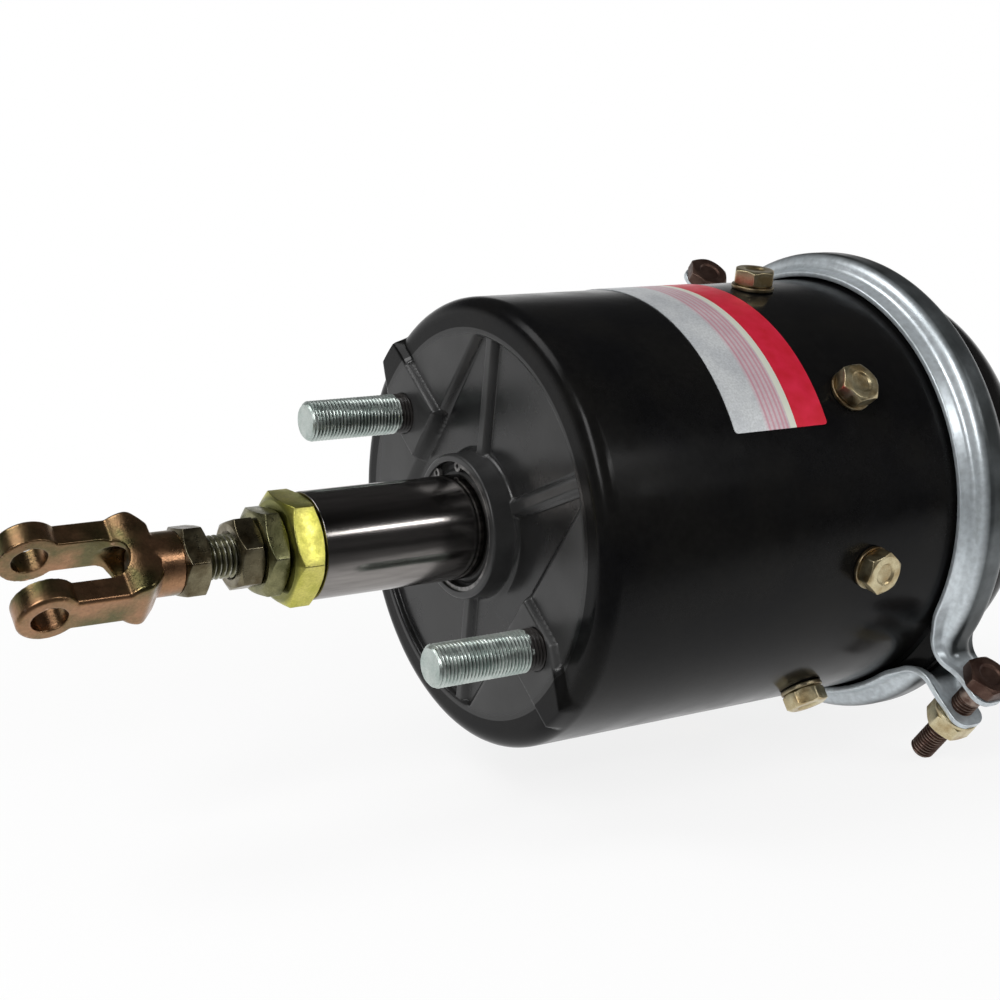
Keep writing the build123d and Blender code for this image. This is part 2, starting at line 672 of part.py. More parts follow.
def return_spring():
    """Coil spring between the seat and the piston's crown."""
    start = SEAT_REAR_X + SPRING_WIRE_R + LAID_GAP
    length = PISTON_FRONT_X - SPRING_WIRE_R - LAID_GAP - start
    path = Helix(pitch=length / SPRING_TURNS, height=length, radius=SPRING_R)
    wire = Plane(origin=path @ 0, z_dir=path % 0) * Circle(SPRING_WIRE_R)
    return facing_x(sweep(wire, path=path, is_frenet=True), start)


def rear_cover():
    flange = flange_corners(COVER_START_X, -1)
    outline = [
        (COVER_START_X, COVER_BORE_R),
        *reversed(flange),
        (flange[0][0] - COVER_FLARE, COVER_R),
        (COVER_REAR_X, COVER_R),
        (COVER_REAR_X, 0),
        (COVER_REAR_X - COVER_WALL, 0),
        (COVER_REAR_X - COVER_WALL, COVER_BORE_R),
    ]
    rounds = [(2, FLANGE_ROUND), (5, COVER_ROUND), (8, COVER_ROUND - COVER_WALL)]
    body = turned(outline, rounds)
    for angle in PORT_ANGLES:
        hole = rod(COVER_REAR_X - 2 * COVER_WALL, COVER_REAR_X + OVERRUN,
                   PORT_SPIGOT_R + PRESS_GAP)
        body -= at_angle(Pos(0, 0, PORT_OFFSET) * hole, angle)
    return body


def port_boss(angle):
    boss = ring(COVER_REAR_X + SEAT_GAP, COVER_REAR_X + PORT_BOSS_HEIGHT, PORT_BORE_R, PORT_BOSS_R)
    boss += ring(COVER_REAR_X - COVER_WALL, COVER_REAR_X + PORT_BOSS_HEIGHT / 2, PORT_BORE_R,
                 PORT_SPIGOT_R)
    return at_angle(Pos(0, 0, PORT_OFFSET) * boss, angle)


def plugged_port():
    return at_angle(Pos(0, 0, PORT_OFFSET), PORT_ANGLES[1])


def port_plug():
    foot = COVER_REAR_X + PORT_BOSS_HEIGHT + PLUG_WASHER_THICKNESS + LAID_GAP
    plug = rod(COVER_REAR_X - COVER_WALL, foot + PLUG_HEAD / 2, PORT_BORE_R - PRESS_GAP)
    return plugged_port() * (plug + facing_x(hexagon(PLUG_FLATS, PLUG_HEAD), foot))


def plug_washer():
    foot = COVER_REAR_X + PORT_BOSS_HEIGHT + SEAT_GAP
    return plugged_port() * ring(foot, foot + PLUG_WASHER_THICKNESS, PORT_BORE_R, PLUG_WASHER_R)


def clamp_half(turn):
    """Half of the V band with an ear at each end, from the split at turn to the next one."""
    crown_half = JOINT_X - DRUM_END_X + FLANGE_EDGE + BAND_CROWN_SIDE_GAP
    heel_half = JOINT_X - DRUM_END_X + FLANGE_REACH - BAND_HEEL_GAP
    front_half = [
        (-heel_half - BAND_LIP, DRUM_R + BAND_LIP_GAP),
        (-heel_half, FLANGE_ROOT_R + BAND_HEEL),
        (-crown_half, CROWN_R),
    ]
    rear_half = [(-x, radius) for x, radius in reversed(front_half)]
    section = strip(front_half + rear_half, BAND_THICKNESS, BAND_BEND)
    band = revolve(Plane.XZ * Pos(JOINT_X, 0) * section, Axis.X, 180 - 2 * BAND_SPLIT)
    half = at_angle(band, CLAMP_ANGLE + turn + 180 - BAND_SPLIT)
    for side, angle in ((1, turn), (-1, turn + 180)):
        half += at_angle(clamp_ear(side), CLAMP_ANGLE + angle)
    return half


def clamp_ear(side):
    """Ear on the side of the split plane that side gives, built towards +Z."""
    ear_y = EAR_GAP / 2
    root_y = ear_y + EAR_REACH
    root_z = sqrt(CROWN_R ** 2 - root_y ** 2) + EAR_ROOT_GAP
    bend_z = sqrt(CROWN_R ** 2 - ear_y ** 2) + EAR_BEND_GAP
    line = [(ear_y, EAR_TIP_R), (ear_y, bend_z), (root_y, root_z)]
    profile = strip(line, EAR_THICKNESS, EAR_BEND)
    ear = extrude(Plane.YZ.offset(JOINT_X - EAR_WIDTH / 2) * profile, EAR_WIDTH)
    ear = fillet(ear.edges().filter_by(Axis.Y).group_by(Axis.Z)[-1], EAR_BEND)
    hole = post(CLAMP_BOLT_R + BOLT_HOLE_CLEARANCE, 0, ear_y + 2 * EAR_THICKNESS)
    ear -= Pos(JOINT_X, 0, CLAMP_BOLT_RADIUS) * Rot(-90, 0, 0) * hole
    return ear if side > 0 else mirror(ear, Plane.XZ)


def clamp_fastening(side):
    """Bolt, nut and washer across one split; the head lies on the side that side gives."""
    ear_face = EAR_GAP / 2 + EAR_THICKNESS
    head_foot = ear_face + LAID_GAP
    washer_end = head_foot + CLAMP_WASHER_THICKNESS
    nut_end = washer_end + PRESS_GAP + CLAMP_NUT_HEIGHT
    shank = post(CLAMP_BOLT_R, -CLAMP_BOLT_TAIL, head_foot + CLAMP_BOLT_HEAD / 2)
    shank = chamfer(shank.edges().sort_by(Axis.Z)[0], CLAMP_BOLT_CHAMFER)
    bolt = shank + Pos(0, 0, head_foot) * hexagon(CLAMP_BOLT_FLATS, CLAMP_BOLT_HEAD)
    nut_body = Pos(0, 0, -nut_end) * nut(
        CLAMP_BOLT_FLATS, CLAMP_NUT_HEIGHT, CLAMP_BOLT_R + PRESS_GAP)
    washer = post(CLAMP_WASHER_R, -washer_end, -head_foot)
    washer -= post(CLAMP_BOLT_R + BOLT_HOLE_CLEARANCE, -nut_end, 0)
    place = Pos(JOINT_X, 0, CLAMP_BOLT_RADIUS) * Rot(-90 * side, 0, 0)
    return [place * bolt, place * nut_body, place * washer]


def clamp_fasteners():
    """Bolts, nuts and washers of both splits, as three lists; both heads are on the upper side."""
    near = [at_angle(piece, CLAMP_ANGLE) for piece in clamp_fastening(1)]
    far = [at_angle(piece, CLAMP_ANGLE + 180) for piece in clamp_fastening(-1)]
    return [list(pair) for pair in zip(near, far)]


def rating_label():
    """Thin plate bent round the drum, its face blank."""
    inner_r = DRUM_R + LAID_GAP
    section = section_box(LABEL_FRONT_X, LABEL_REAR_X, inner_r, inner_r + LABEL_THICKNESS)
    start, end = LABEL_ANGLES
    return at_angle(revolve(Plane.XZ * section, Axis.X, end - start), end)


def build():
    ring_bolts, ring_washers = ring_bolt_parts()
    clamp_bolts, clamp_nuts, clamp_washers = clamp_fasteners()
    return {
        "drum_body": [drum_body()],
        "mounting_studs": [mounting_stud(1), mounting_stud(-1)],
        "rod_bush": [rod_bush()],
        "rod_wiper": [rod_wiper()],
        "wiper_circlip": [wiper_circlip()],
        "guide_ring": [guide_ring()],
        "guide_ring_bolts": ring_bolts,
        "guide_ring_washers": ring_washers,
        "spring_seat": [spring_seat()],
        "return_spring": [return_spring()],
        "diaphragm": [diaphragm()],
        "rear_cover": [rear_cover()],
        "port_bosses": [port_boss(angle) for angle in PORT_ANGLES],
        "port_plug": [port_plug()],
        "plug_washer": [plug_washer()],
        "clamp_half_upper": [clamp_half(0)],
        "clamp_half_lower": [clamp_half(180)],
        "clamp_bolts": clamp_bolts,
        "clamp_nuts": clamp_nuts,
        "clamp_washers": clamp_washers,
        "rating_label": [rating_label()],
        "push_tube": [push_tube()],
        "tube_front_plug": [tube_front_plug()],
        "tube_rear_plug": [tube_rear_plug()],
        "tube_cap": [tube_cap()],
        "cap_hex": [cap_hex()],
        "threaded_rod": [threaded_rod()],
        "lock_nut": [lock_nut()],
        "jam_nut": [jam_nut()],
        "piston": [piston()],
        "piston_plate": [piston_plate()],
        "piston_bolt": [piston_bolt()],
        "yoke": [yoke()],
    }


os.makedirs("parts", exist_ok=True)
for node, pieces in build().items():
    solids = [solid for piece in pieces for solid in piece.solids()]
    shape = solids[0] if len(solids) == 1 else Compound(children=solids)
    export_step(shape, f"parts/{node}.step")
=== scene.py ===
import json
from math import asin, atan2, cos, degrees, hypot, pi, radians, sin, sqrt, tan

import bmesh
import bpy
import numpy as np
from mathutils import Matrix, Vector

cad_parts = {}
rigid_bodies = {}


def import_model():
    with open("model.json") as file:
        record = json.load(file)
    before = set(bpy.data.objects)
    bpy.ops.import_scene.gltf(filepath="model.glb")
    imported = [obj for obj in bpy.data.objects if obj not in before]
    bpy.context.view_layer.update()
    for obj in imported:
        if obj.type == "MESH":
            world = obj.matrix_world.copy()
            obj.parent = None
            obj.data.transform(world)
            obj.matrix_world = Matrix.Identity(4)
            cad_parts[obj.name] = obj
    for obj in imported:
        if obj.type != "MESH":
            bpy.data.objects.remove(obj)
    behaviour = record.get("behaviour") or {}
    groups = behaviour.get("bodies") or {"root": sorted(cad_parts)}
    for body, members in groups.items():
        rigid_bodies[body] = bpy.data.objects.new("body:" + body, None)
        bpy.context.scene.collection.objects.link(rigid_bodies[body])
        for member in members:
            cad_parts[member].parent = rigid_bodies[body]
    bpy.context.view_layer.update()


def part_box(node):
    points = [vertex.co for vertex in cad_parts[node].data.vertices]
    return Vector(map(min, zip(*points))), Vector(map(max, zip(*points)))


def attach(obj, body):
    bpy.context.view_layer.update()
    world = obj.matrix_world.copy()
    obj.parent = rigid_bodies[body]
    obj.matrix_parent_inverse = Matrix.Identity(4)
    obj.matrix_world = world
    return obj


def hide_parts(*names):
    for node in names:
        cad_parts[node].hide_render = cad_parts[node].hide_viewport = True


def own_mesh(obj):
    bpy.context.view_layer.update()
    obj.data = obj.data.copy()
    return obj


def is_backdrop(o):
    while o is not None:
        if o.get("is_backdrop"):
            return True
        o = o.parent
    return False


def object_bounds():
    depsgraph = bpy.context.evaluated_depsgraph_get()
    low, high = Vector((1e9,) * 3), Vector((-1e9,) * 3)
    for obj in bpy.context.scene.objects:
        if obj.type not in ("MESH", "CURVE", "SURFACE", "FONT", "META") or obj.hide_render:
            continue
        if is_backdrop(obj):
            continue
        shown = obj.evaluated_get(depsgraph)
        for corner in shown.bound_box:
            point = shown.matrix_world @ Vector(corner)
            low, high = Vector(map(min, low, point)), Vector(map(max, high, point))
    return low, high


for leftover in list(bpy.data.objects):
    bpy.data.objects.remove(leftover)
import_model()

# Air brake chamber. Metres, in the frame's axes: X runs along the push rod to the rear cover,
# Z is up. A roll angle is counted from straight down (-Z) towards -Y.

# Roll angles and counts
STUD_ANGLE = 50.5
CLAMP_ANGLE = 49.0
RING_BOLT_ANGLE = 34.4
RING_BOLT_COUNT = 8
RIB_TURN = 60.0
CAP_TURN = 38.0
CAP_HEX_TURN = 30.0
LOCK_NUT_TURN = 12.0
JAM_NUT_TURN = 24.0
PORT_ANGLES = (180.0, 0.0)
LABEL_ANGLES = (116.5, 190.0)

# Drum
DRUM_R = 0.087
DRUM_WALL = 0.0035
RIM_X = 0.003
RIM_WIDTH = 0.014
RIM_SHINE = 0.0028
RIM_ROUND = 0.007
RIM_EDGE_ROUND = 0.0014
FACE_ROUND = 0.0009
FLOOR_X = 0.006
PLATE_INNER_X = 0.012
COLLAR_ROUND = 0.0012
COLLAR_ROOT_ROUND = 0.0025
COLLAR_BORE_R = 0.025
COLLAR_R = 0.028
INNER_BOSS_R = 0.030
INNER_BOSS_X = 0.030
STUD_SPACING = 0.12065
STUD_BOSS_INNER = 0.043
STUD_BOSS_WIDE_SIDE = 0.018
STUD_BOSS_NARROW_SIDE = 0.010
STUD_BOSS_CUT_ACROSS = 0.014
STUD_BOSS_CUT_ALONG = 0.021
STUD_BOSS_R = 0.086
RIB_WIDTH = 0.005
RIB_HEIGHT = 0.0024
RELIEF_SLOPE = 0.0020
FACE_STEP = 0.0006
FACE_COLUMNS = 900
FACE_REACH = 0.0105
FACE_PAINT_DEPTH = 0.007
SIDE_SETBACK = 0.012
SIDE_STRIDE = 24
NEAR = 0.001
# Depths of the front face's grey, which is dust with painted light and shade: where it starts,
# where it is full, and where the painted shade on the recess floor is full.
DUST_AND_LIGHT_START_X = 0.0085
DUST_AND_LIGHT_FULL_X = 0.0035
RECESS_SHADE_X = 0.0058
FLANGE_EDGE = 0.0036
FLANGE_REACH = 0.005994
FLANGE_ROOT_R = 0.088
FLANGE_FLARE = 0.002
FLANGE_ROUND = 0.002
SMALL_ROUND = 0.0008

# Threads, hexagons and washers
COARSE_PITCH = 0.002
FINE_PITCH = 0.0015
THREAD_DEPTH = 0.58
THREAD_STEPS = 8
CONE_SHARE = 0.475
DISH_SHARE = 0.62
CONE_ANGLE = 30.0
HEX_CORNER = 0.0007
HEX_EDGE = 0.00035
COUNTERSINK = 0.0009
STUD_R = 0.008
STUD_SHOULDER_R = 0.0085
STUD_CHAMFER = 0.0014
STUD_FLATS = 0.024
PAINTED_ROOT = 0.0052
PAINT_EDGE = 0.0004
PAINT_EDGE_WANDER = 0.0007
ROD_R = 0.008
ROD_CHAMFER = 0.0012
ROD_FLATS = 0.024
CAP_FLATS = 0.038
# Depth and fade of the painted shade on the cap's front face.
CAP_FACE_SKIN = 0.0004
CAP_FACE_FADE = 0.001
CAP_HEX_FLATS = 0.030
PLUG_FLATS = 0.022
BOLT_R = 0.005
RING_BOLT_FLATS = 0.015
CLAMP_BOLT_FLATS = 0.017
BOLT_HEAD = 0.0064
BOLT_DISH = 0.0008
RING_BOLT_TIP_R = 0.0765
RING_WASHER_R = 0.0085
RING_WASHER_THICKNESS = 0.0018
CLAMP_BOLT_RADIUS = 0.115
CLAMP_BOLT_TAIL = 0.038
CLAMP_BOLT_CHAMFER = 0.001
CLAMP_NUT_HEIGHT = 0.008
CLAMP_WASHER_R = 0.0095
CLAMP_WASHER_THICKNESS = 0.0016
LAID_GAP = 0.00003

# Clamp band
BAND_THICKNESS = 0.0025
BAND_HEEL_HALF = 0.007044
BAND_LIP = 0.0060
BAND_LIP_R = 0.0879
BAND_HEEL_R = 0.0896
BAND_CROWN_HALF = 0.00525
BAND_CROWN_R = 0.09535
BAND_BEND = 0.0042
SHEET_EDGE = 0.0006
EAR_GAP = 0.012
EAR_THICKNESS = 0.003
EAR_WIDTH = 0.016
EAR_TIP_R = 0.124
EAR_BEND = 0.0070
EAR_CORNER = 0.006
BAND_FADE_START = 0.012
BAND_FADE_END = 0.042
BAND_POINTS = 64
BAND_STATIONS = 80
# Where the painted dark reflection over the clamp's crown and rear starts and is full, and how far
# from the ear tip it stays off.
DARK_CROWN_START = 0.0068
DARK_CROWN_FULL = 0.0042
BRIGHT_EAR = 0.020
BRIGHT_EAR_FADE = 0.004

# Push rod
TUBE_BORE_R = 0.016
YOKE_VOXEL = 0.00038
YOKE_SMOOTHING = 8

# Rear cover, ports and label
COVER_R = 0.083
COVER_WALL = 0.003
COVER_ROUND = 0.031
COVER_FLARE = 0.0004
PORT_BORE_R = 0.00725
PORT_BOSS_R = 0.014
PLUG_WASHER_R = 0.0115
LABEL_R = 0.08738
LABEL_CORNER = 0.0014
LABEL_LINES = (0.36, 0.41, 0.46, 0.51, 0.55)
LABEL_LINE_WIDTH = 0.022
LABEL_WASH_FADE = 0.04
LABEL_BLUR = 0.01
LABEL_PALE_SHARE = 0.59
LABEL_RED_SHARE = 0.66

# Spring
SPRING_R = 0.03803
SPRING_WIRE_R = 0.003
SPRING_TURNS = 8.0

DRUM_LOW, DRUM_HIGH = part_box("drum_body")
TUBE_LOW, TUBE_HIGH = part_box("push_tube")
CAP_LOW, CAP_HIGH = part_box("tube_cap")
CAP_HEX_LOW, CAP_HEX_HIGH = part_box("cap_hex")
LOCK_NUT_LOW, LOCK_NUT_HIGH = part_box("lock_nut")
JAM_NUT_LOW, JAM_NUT_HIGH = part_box("jam_nut")
ROD_LOW, ROD_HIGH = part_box("threaded_rod")
STUD_LOW, STUD_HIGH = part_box("mounting_studs")
SPRING_LOW, SPRING_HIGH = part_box("return_spring")
COVER_LOW, COVER_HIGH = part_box("rear_cover")
LABEL_LOW, LABEL_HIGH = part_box("rating_label")
BAND_LOW, BAND_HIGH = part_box("clamp_half_upper")
RING_LOW, RING_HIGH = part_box("guide_ring")
PLUG_LOW, PLUG_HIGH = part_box("port_plug")
BOSS_LOW, BOSS_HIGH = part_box("port_bosses")
PLUG_WASHER_LOW, PLUG_WASHER_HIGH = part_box("plug_washer")

JOINT_X = (BAND_LOW.x + BAND_HIGH.x) / 2
RING_BOLT_X = (RING_LOW.x + RING_HIGH.x) / 2
FLANGE_R = DRUM_HIGH.y
TUBE_R = TUBE_HIGH.y
PORT_OFFSET = (BOSS_HIGH.z - BOSS_LOW.z) / 2 - BOSS_HIGH.y


# ---------------------------------------------------------------------------------------------
# Outlines and meshes


def smooth_step(value, low, high):
    share = np.clip((value - low) / (high - low), 0.0, 1.0)
    return share * share * (3 - 2 * share)


def corner_arc(before, here, after, radius, steps):
    """Points of the arc that rounds the corner at here."""
    here = Vector(here)
    back = (Vector(before) - here)
    ahead = (Vector(after) - here)
    half = back.angle(ahead) / 2
    reach = min(radius / tan(half), 0.48 * back.length, 0.48 * ahead.length)
    middle = (back.normalized() + ahead.normalized()).normalized()
    centre = here + middle * (reach / cos(half))
    start = here + back.normalized() * reach - centre
    end = here + ahead.normalized() * reach - centre
    first = atan2(start.y, start.x)
    turn = (atan2(end.y, end.x) - first + pi) % (2 * pi) - pi
    angles = [first + turn * i / steps for i in range(steps + 1)]
    return [(centre.x + start.length * cos(a), centre.y + start.length * sin(a)) for a in angles]


def rounded(corners, steps=5):
    """Closed outline through (a, b, radius) corners, each rounded by an arc."""
    outline = []
    for i, (a, b, radius) in enumerate(corners):
        if radius:
            before = corners[i - 1][:2]
            after = corners[(i + 1) % len(corners)][:2]
            outline.extend(corner_arc(before, (a, b), after, radius, steps))
        else:
            outline.append((a, b))
    return outline


def divided(outline, step):
    """The same closed outline with no side longer than step."""
    points = []
    for i, (a, b) in enumerate(outline):
        a2, b2 = outline[(i + 1) % len(outline)]
        parts = max(1, int(hypot(a2 - a, b2 - b) / step))
        points.extend((a + (a2 - a) * k / parts, b + (b2 - b) * k / parts) for k in range(parts))
    return points


def grid_mesh(rows, wrap_rows=False, wrap_columns=True, caps=False):
    """Mesh through a grid of points; its rows and columns can close on themselves."""
    points = np.asarray(rows, float)
    row_count, column_count = points.shape[:2]
    row = np.arange(row_count if wrap_rows else row_count - 1)
    column = np.arange(column_count if wrap_columns else column_count - 1)
    i, j = np.meshgrid(row, column, indexing="ij")
    i2 = (i + 1) % row_count
    j2 = (j + 1) % column_count
    corners = [i * column_count + j, i * column_count + j2, i2 * column_count + j2,
               i2 * column_count + j]
    faces = np.stack(corners, axis=-1).reshape(-1, 4).tolist()
    if caps:
        last = (row_count - 1) * column_count
        faces.append(list(range(column_count))[::-1])
        faces.append([last + k for k in range(column_count)])
    mesh = bpy.data.meshes.new("grid")
    mesh.from_pydata(points.reshape(-1, 3).tolist(), [], faces)
    return mesh


def turned(outline, columns=192):
    """Mesh turned about X from a closed (x, radius) outline."""
    x, radius = np.asarray(outline, float).T
    angle = np.linspace(0, 2 * pi, columns, endpoint=False)
    grid = np.stack(np.broadcast_arrays(
        x[:, None], radius[:, None] * np.sin(angle), radius[:, None] * np.cos(angle)), axis=-1)
    return grid_mesh(grid, wrap_rows=True)


def ring(x_start, x_end, inner_r, outer_r, edge=SMALL_ROUND / 2, columns=192):
    corners = [(x_start, inner_r, edge), (x_start, outer_r, edge), (x_end, outer_r, edge),
               (x_end, inner_r, edge)]
    return turned(rounded(corners, 3), columns)


def hexagon(flats, height, bore=0.0):
    """Hexagon along +Z with cone-cut corners; a bore gets countersinks, a head gets a dish."""
    corner_r = flats / 2 / cos(radians(30))
    corners = [(corner_r * cos(a), corner_r * sin(a), HEX_CORNER)
               for a in (radians(60 * k) for k in range(6))]
    cone_r = CONE_SHARE * flats
    columns = []
    for a, b in divided(rounded(corners, 4), flats / 12):
        out = hypot(a, b)
        drop = (out - cone_r) * tan(radians(CONE_ANGLE))
        outer = [(cone_r, 0, HEX_EDGE), (out, drop, HEX_EDGE), (out, height - drop, HEX_EDGE),
                 (cone_r, height, HEX_EDGE)]
        if bore:
            inner_top = [(bore + COUNTERSINK, height, 0), (bore, height - COUNTERSINK, 0)]
            inner_foot = [(bore, COUNTERSINK, 0), (bore + COUNTERSINK, 0, 0)]
        else:
            dish_r = cone_r * DISH_SHARE
            inner_top = [(dish_r, height, HEX_EDGE),
                         (dish_r - BOLT_DISH, height - BOLT_DISH, HEX_EDGE),
                         (0, height - BOLT_DISH, 0)]
            inner_foot = [(0, 0, 0)]
        profile = rounded(inner_foot + outer + inner_top, 3)
        columns.append([(r * a / out, r * b / out, z) for r, z in profile])
    return grid_mesh(np.swapaxes(np.asarray(columns), 0, 1), wrap_rows=bool(bore))


def threaded(radius, pitch, start, end, chamfer=0.0, columns=56):
    """Threaded shank along +Z from start to end, its far end cut back by a chamfer."""
    count = int((end - start) / pitch * THREAD_STEPS) + 1
    z = np.linspace(start, end, count)[:, None]
    angle = np.linspace(0, 2 * pi, columns, endpoint=False)[None, :]
    phase = (z / pitch - angle / (2 * pi)) % 1.0
    groove = np.clip(1.25 - np.abs(2 * phase - 1) * 1.5, 0, 1)
    depth = THREAD_DEPTH * pitch * groove
    limit = radius - chamfer + (end - z)
    out = np.minimum(radius - depth, limit)
    grid = np.stack(np.broadcast_arrays(out * np.cos(angle), out * np.sin(angle), z), axis=-1)
    return grid_mesh(grid, caps=True)


def shank(radius, start, end, edge=0.0, columns=56):
    """Plain round bar along +Z."""
    angle = np.linspace(0, 2 * pi, columns, endpoint=False)
    stations = [(radius - edge, start), (radius, start + edge), (radius, end - edge),
                (radius - edge, end)]
    rows = [np.stack([r * np.cos(angle), r * np.sin(angle), np.full(columns, z)], axis=-1)
            for r, z in stations]
    return grid_mesh(rows, caps=True)


# ---------------------------------------------------------------------------------------------
# Places


def at_angle(angle):
    """Turns what was built towards +Z to a roll angle."""
    return Matrix.Rotation(radians(180 - angle), 4, "X")


def facing_x(x, towards=1):
    """Lays what stands on z = 0 along X, its foot at x."""
    return Matrix.Translation((x, 0, 0)) @ Matrix.Rotation(radians(90 * towards), 4, "Y")


def moved(mesh, place):
    mesh.transform(place)
    return mesh


def piece(name, meshes, body, material, nodes, sharp=32.0):
    """One shown piece from one or more meshes, riding on a body in place of CAD nodes."""
    work = bmesh.new()
    for mesh in meshes:
        work.from_mesh(mesh)
        bpy.data.meshes.remove(mesh)
    bmesh.ops.remove_doubles(work, verts=work.verts, dist=1e-7)
    bmesh.ops.dissolve_degenerate(work, edges=work.edges, dist=1e-8)
    bmesh.ops.recalc_face_normals(work, faces=work.faces)
    mesh = bpy.data.meshes.new(name)
    work.to_mesh(mesh)
    work.free()
    mesh.shade_smooth()
    mesh.set_sharp_from_angle(angle=radians(sharp))
    mesh.materials.append(material)
    made = bpy.data.objects.new(name, mesh)
    bpy.context.scene.collection.objects.link(made)
    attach(made, body)
    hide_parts(*nodes)
    return made


# ---------------------------------------------------------------------------------------------
# Materials


def add(tree, kind, inputs, **settings):
    """Adds a node; an input that is a socket is linked, anything else is its value."""
    node = tree.nodes.new(kind)
    for key, value in settings.items():
        setattr(node, key, value)
    for key, value in inputs.items():
        if isinstance(value, bpy.types.NodeSocket):
            tree.links.new(value, node.inputs[key])
        else:
            node.inputs[key].default_value = value
    return node


def coordinates(tree):
    return add(tree, "ShaderNodeTexCoord", {}).outputs["Object"]


def cloud(tree, scale, stretch=(1, 1, 1), detail=4.0, offset=0.0):
    """Soft noise from 0 to 1, stretched along the frame's axes."""
    mapping = add(tree, "ShaderNodeMapping", {
        "Vector": coordinates(tree), "Scale": stretch, "Location": (offset, offset, offset)})
    inputs = {"Vector": mapping.outputs["Vector"], "Scale": scale, "Detail": detail}
    return add(tree, "ShaderNodeTexNoise", inputs).outputs["Fac"]


def between(tree, factor, low, high, start=0.0, end=1.0):
    inputs = {"Value": factor, "From Min": low, "From Max": high, "To Min": start, "To Max": end}
    return add(tree, "ShaderNodeMapRange", inputs).outputs["Result"]


def mixed(tree, factor, first, second, blend="MIX"):
    inputs = {"Factor": factor, "A": first, "B": second}
    node = tree.nodes.new("ShaderNodeMix")
    node.data_type = "RGBA"
    node.blend_type = blend
    sockets = {"Factor": node.inputs[0], "A": node.inputs[6], "B": node.inputs[7]}
    for key, value in inputs.items():
        if isinstance(value, bpy.types.NodeSocket):
            tree.links.new(value, sockets[key])
        else:
            sockets[key].default_value = value
    return node.outputs[2]


def sums(tree, operation, first, second):
    inputs = {0: first, 1: second}
    return add(tree, "ShaderNodeMath", inputs, operation=operation).outputs[0]


def rgb(red, green, blue):
    return (red, green, blue, 1.0)


def surface(name, color, patch, metallic, roughness, spread=0.06, patch_scale=60.0,
            stretch=(1, 1, 1), grain_scale=900.0, grain_depth=0.00004, grain_stretch=(1, 1, 1),
            worn=None, wear=0.6, hollow_color=None, ior=1.45, offset=0.0):
    """Painted or plated surface: patchy colour, grain, uneven gloss, worn edges and a darker colour
    in concave hollows.
    """
    material = bpy.data.materials.new(name)
    material.use_nodes = True
    tree = material.node_tree
    shader = tree.nodes["Principled BSDF"]
    patches = between(tree, cloud(tree, patch_scale, stretch, offset=offset), 0.40, 0.64)
    shade = mixed(tree, patches, color, patch)
    speckle = between(tree, cloud(tree, patch_scale * 14, stretch, 2.0, offset), 0.3, 0.7,
                      0.86, 1.12)
    shade = mixed(tree, 1.0, shade, speckle, "MULTIPLY")
    gloss = between(tree, cloud(tree, patch_scale * 2.6, stretch, offset=offset + 3), 0.3, 0.7,
                    roughness - spread, roughness + spread)
    # Concave hollows, found by pointiness, get the darker colour in patches and a little more
    # roughness.
    if hollow_color:
        hollow = add(tree, "ShaderNodeNewGeometry", {}).outputs["Pointiness"]
        hollow_share = between(tree, hollow, 0.495, 0.44)
        hollow_share = sums(tree, "MULTIPLY", hollow_share, between(tree, cloud(tree, 200.0), 0.3, 0.55))
        shade = mixed(tree, hollow_share, shade, hollow_color)
        gloss = sums(tree, "ADD", gloss, sums(tree, "MULTIPLY", hollow_share, 0.25))
    if worn:
        edge = add(tree, "ShaderNodeNewGeometry", {}).outputs["Pointiness"]
        rub = between(tree, edge, 0.52, 0.58, 0.0, wear)
        rub = sums(tree, "MULTIPLY", rub, between(tree, cloud(tree, 350.0), 0.35, 0.6))
        shade = mixed(tree, rub, shade, worn)
    grain = cloud(tree, grain_scale, grain_stretch, 3.0, offset)
    bump = add(tree, "ShaderNodeBump", {"Height": grain, "Distance": grain_depth,
                                        "Strength": 1.0})
    tree.links.new(shade, shader.inputs["Base Color"])
    tree.links.new(gloss, shader.inputs["Roughness"])
    tree.links.new(bump.outputs["Normal"], shader.inputs["Normal"])
    shader.inputs["Metallic"].default_value = metallic
    shader.inputs["IOR"].default_value = ior
    return material


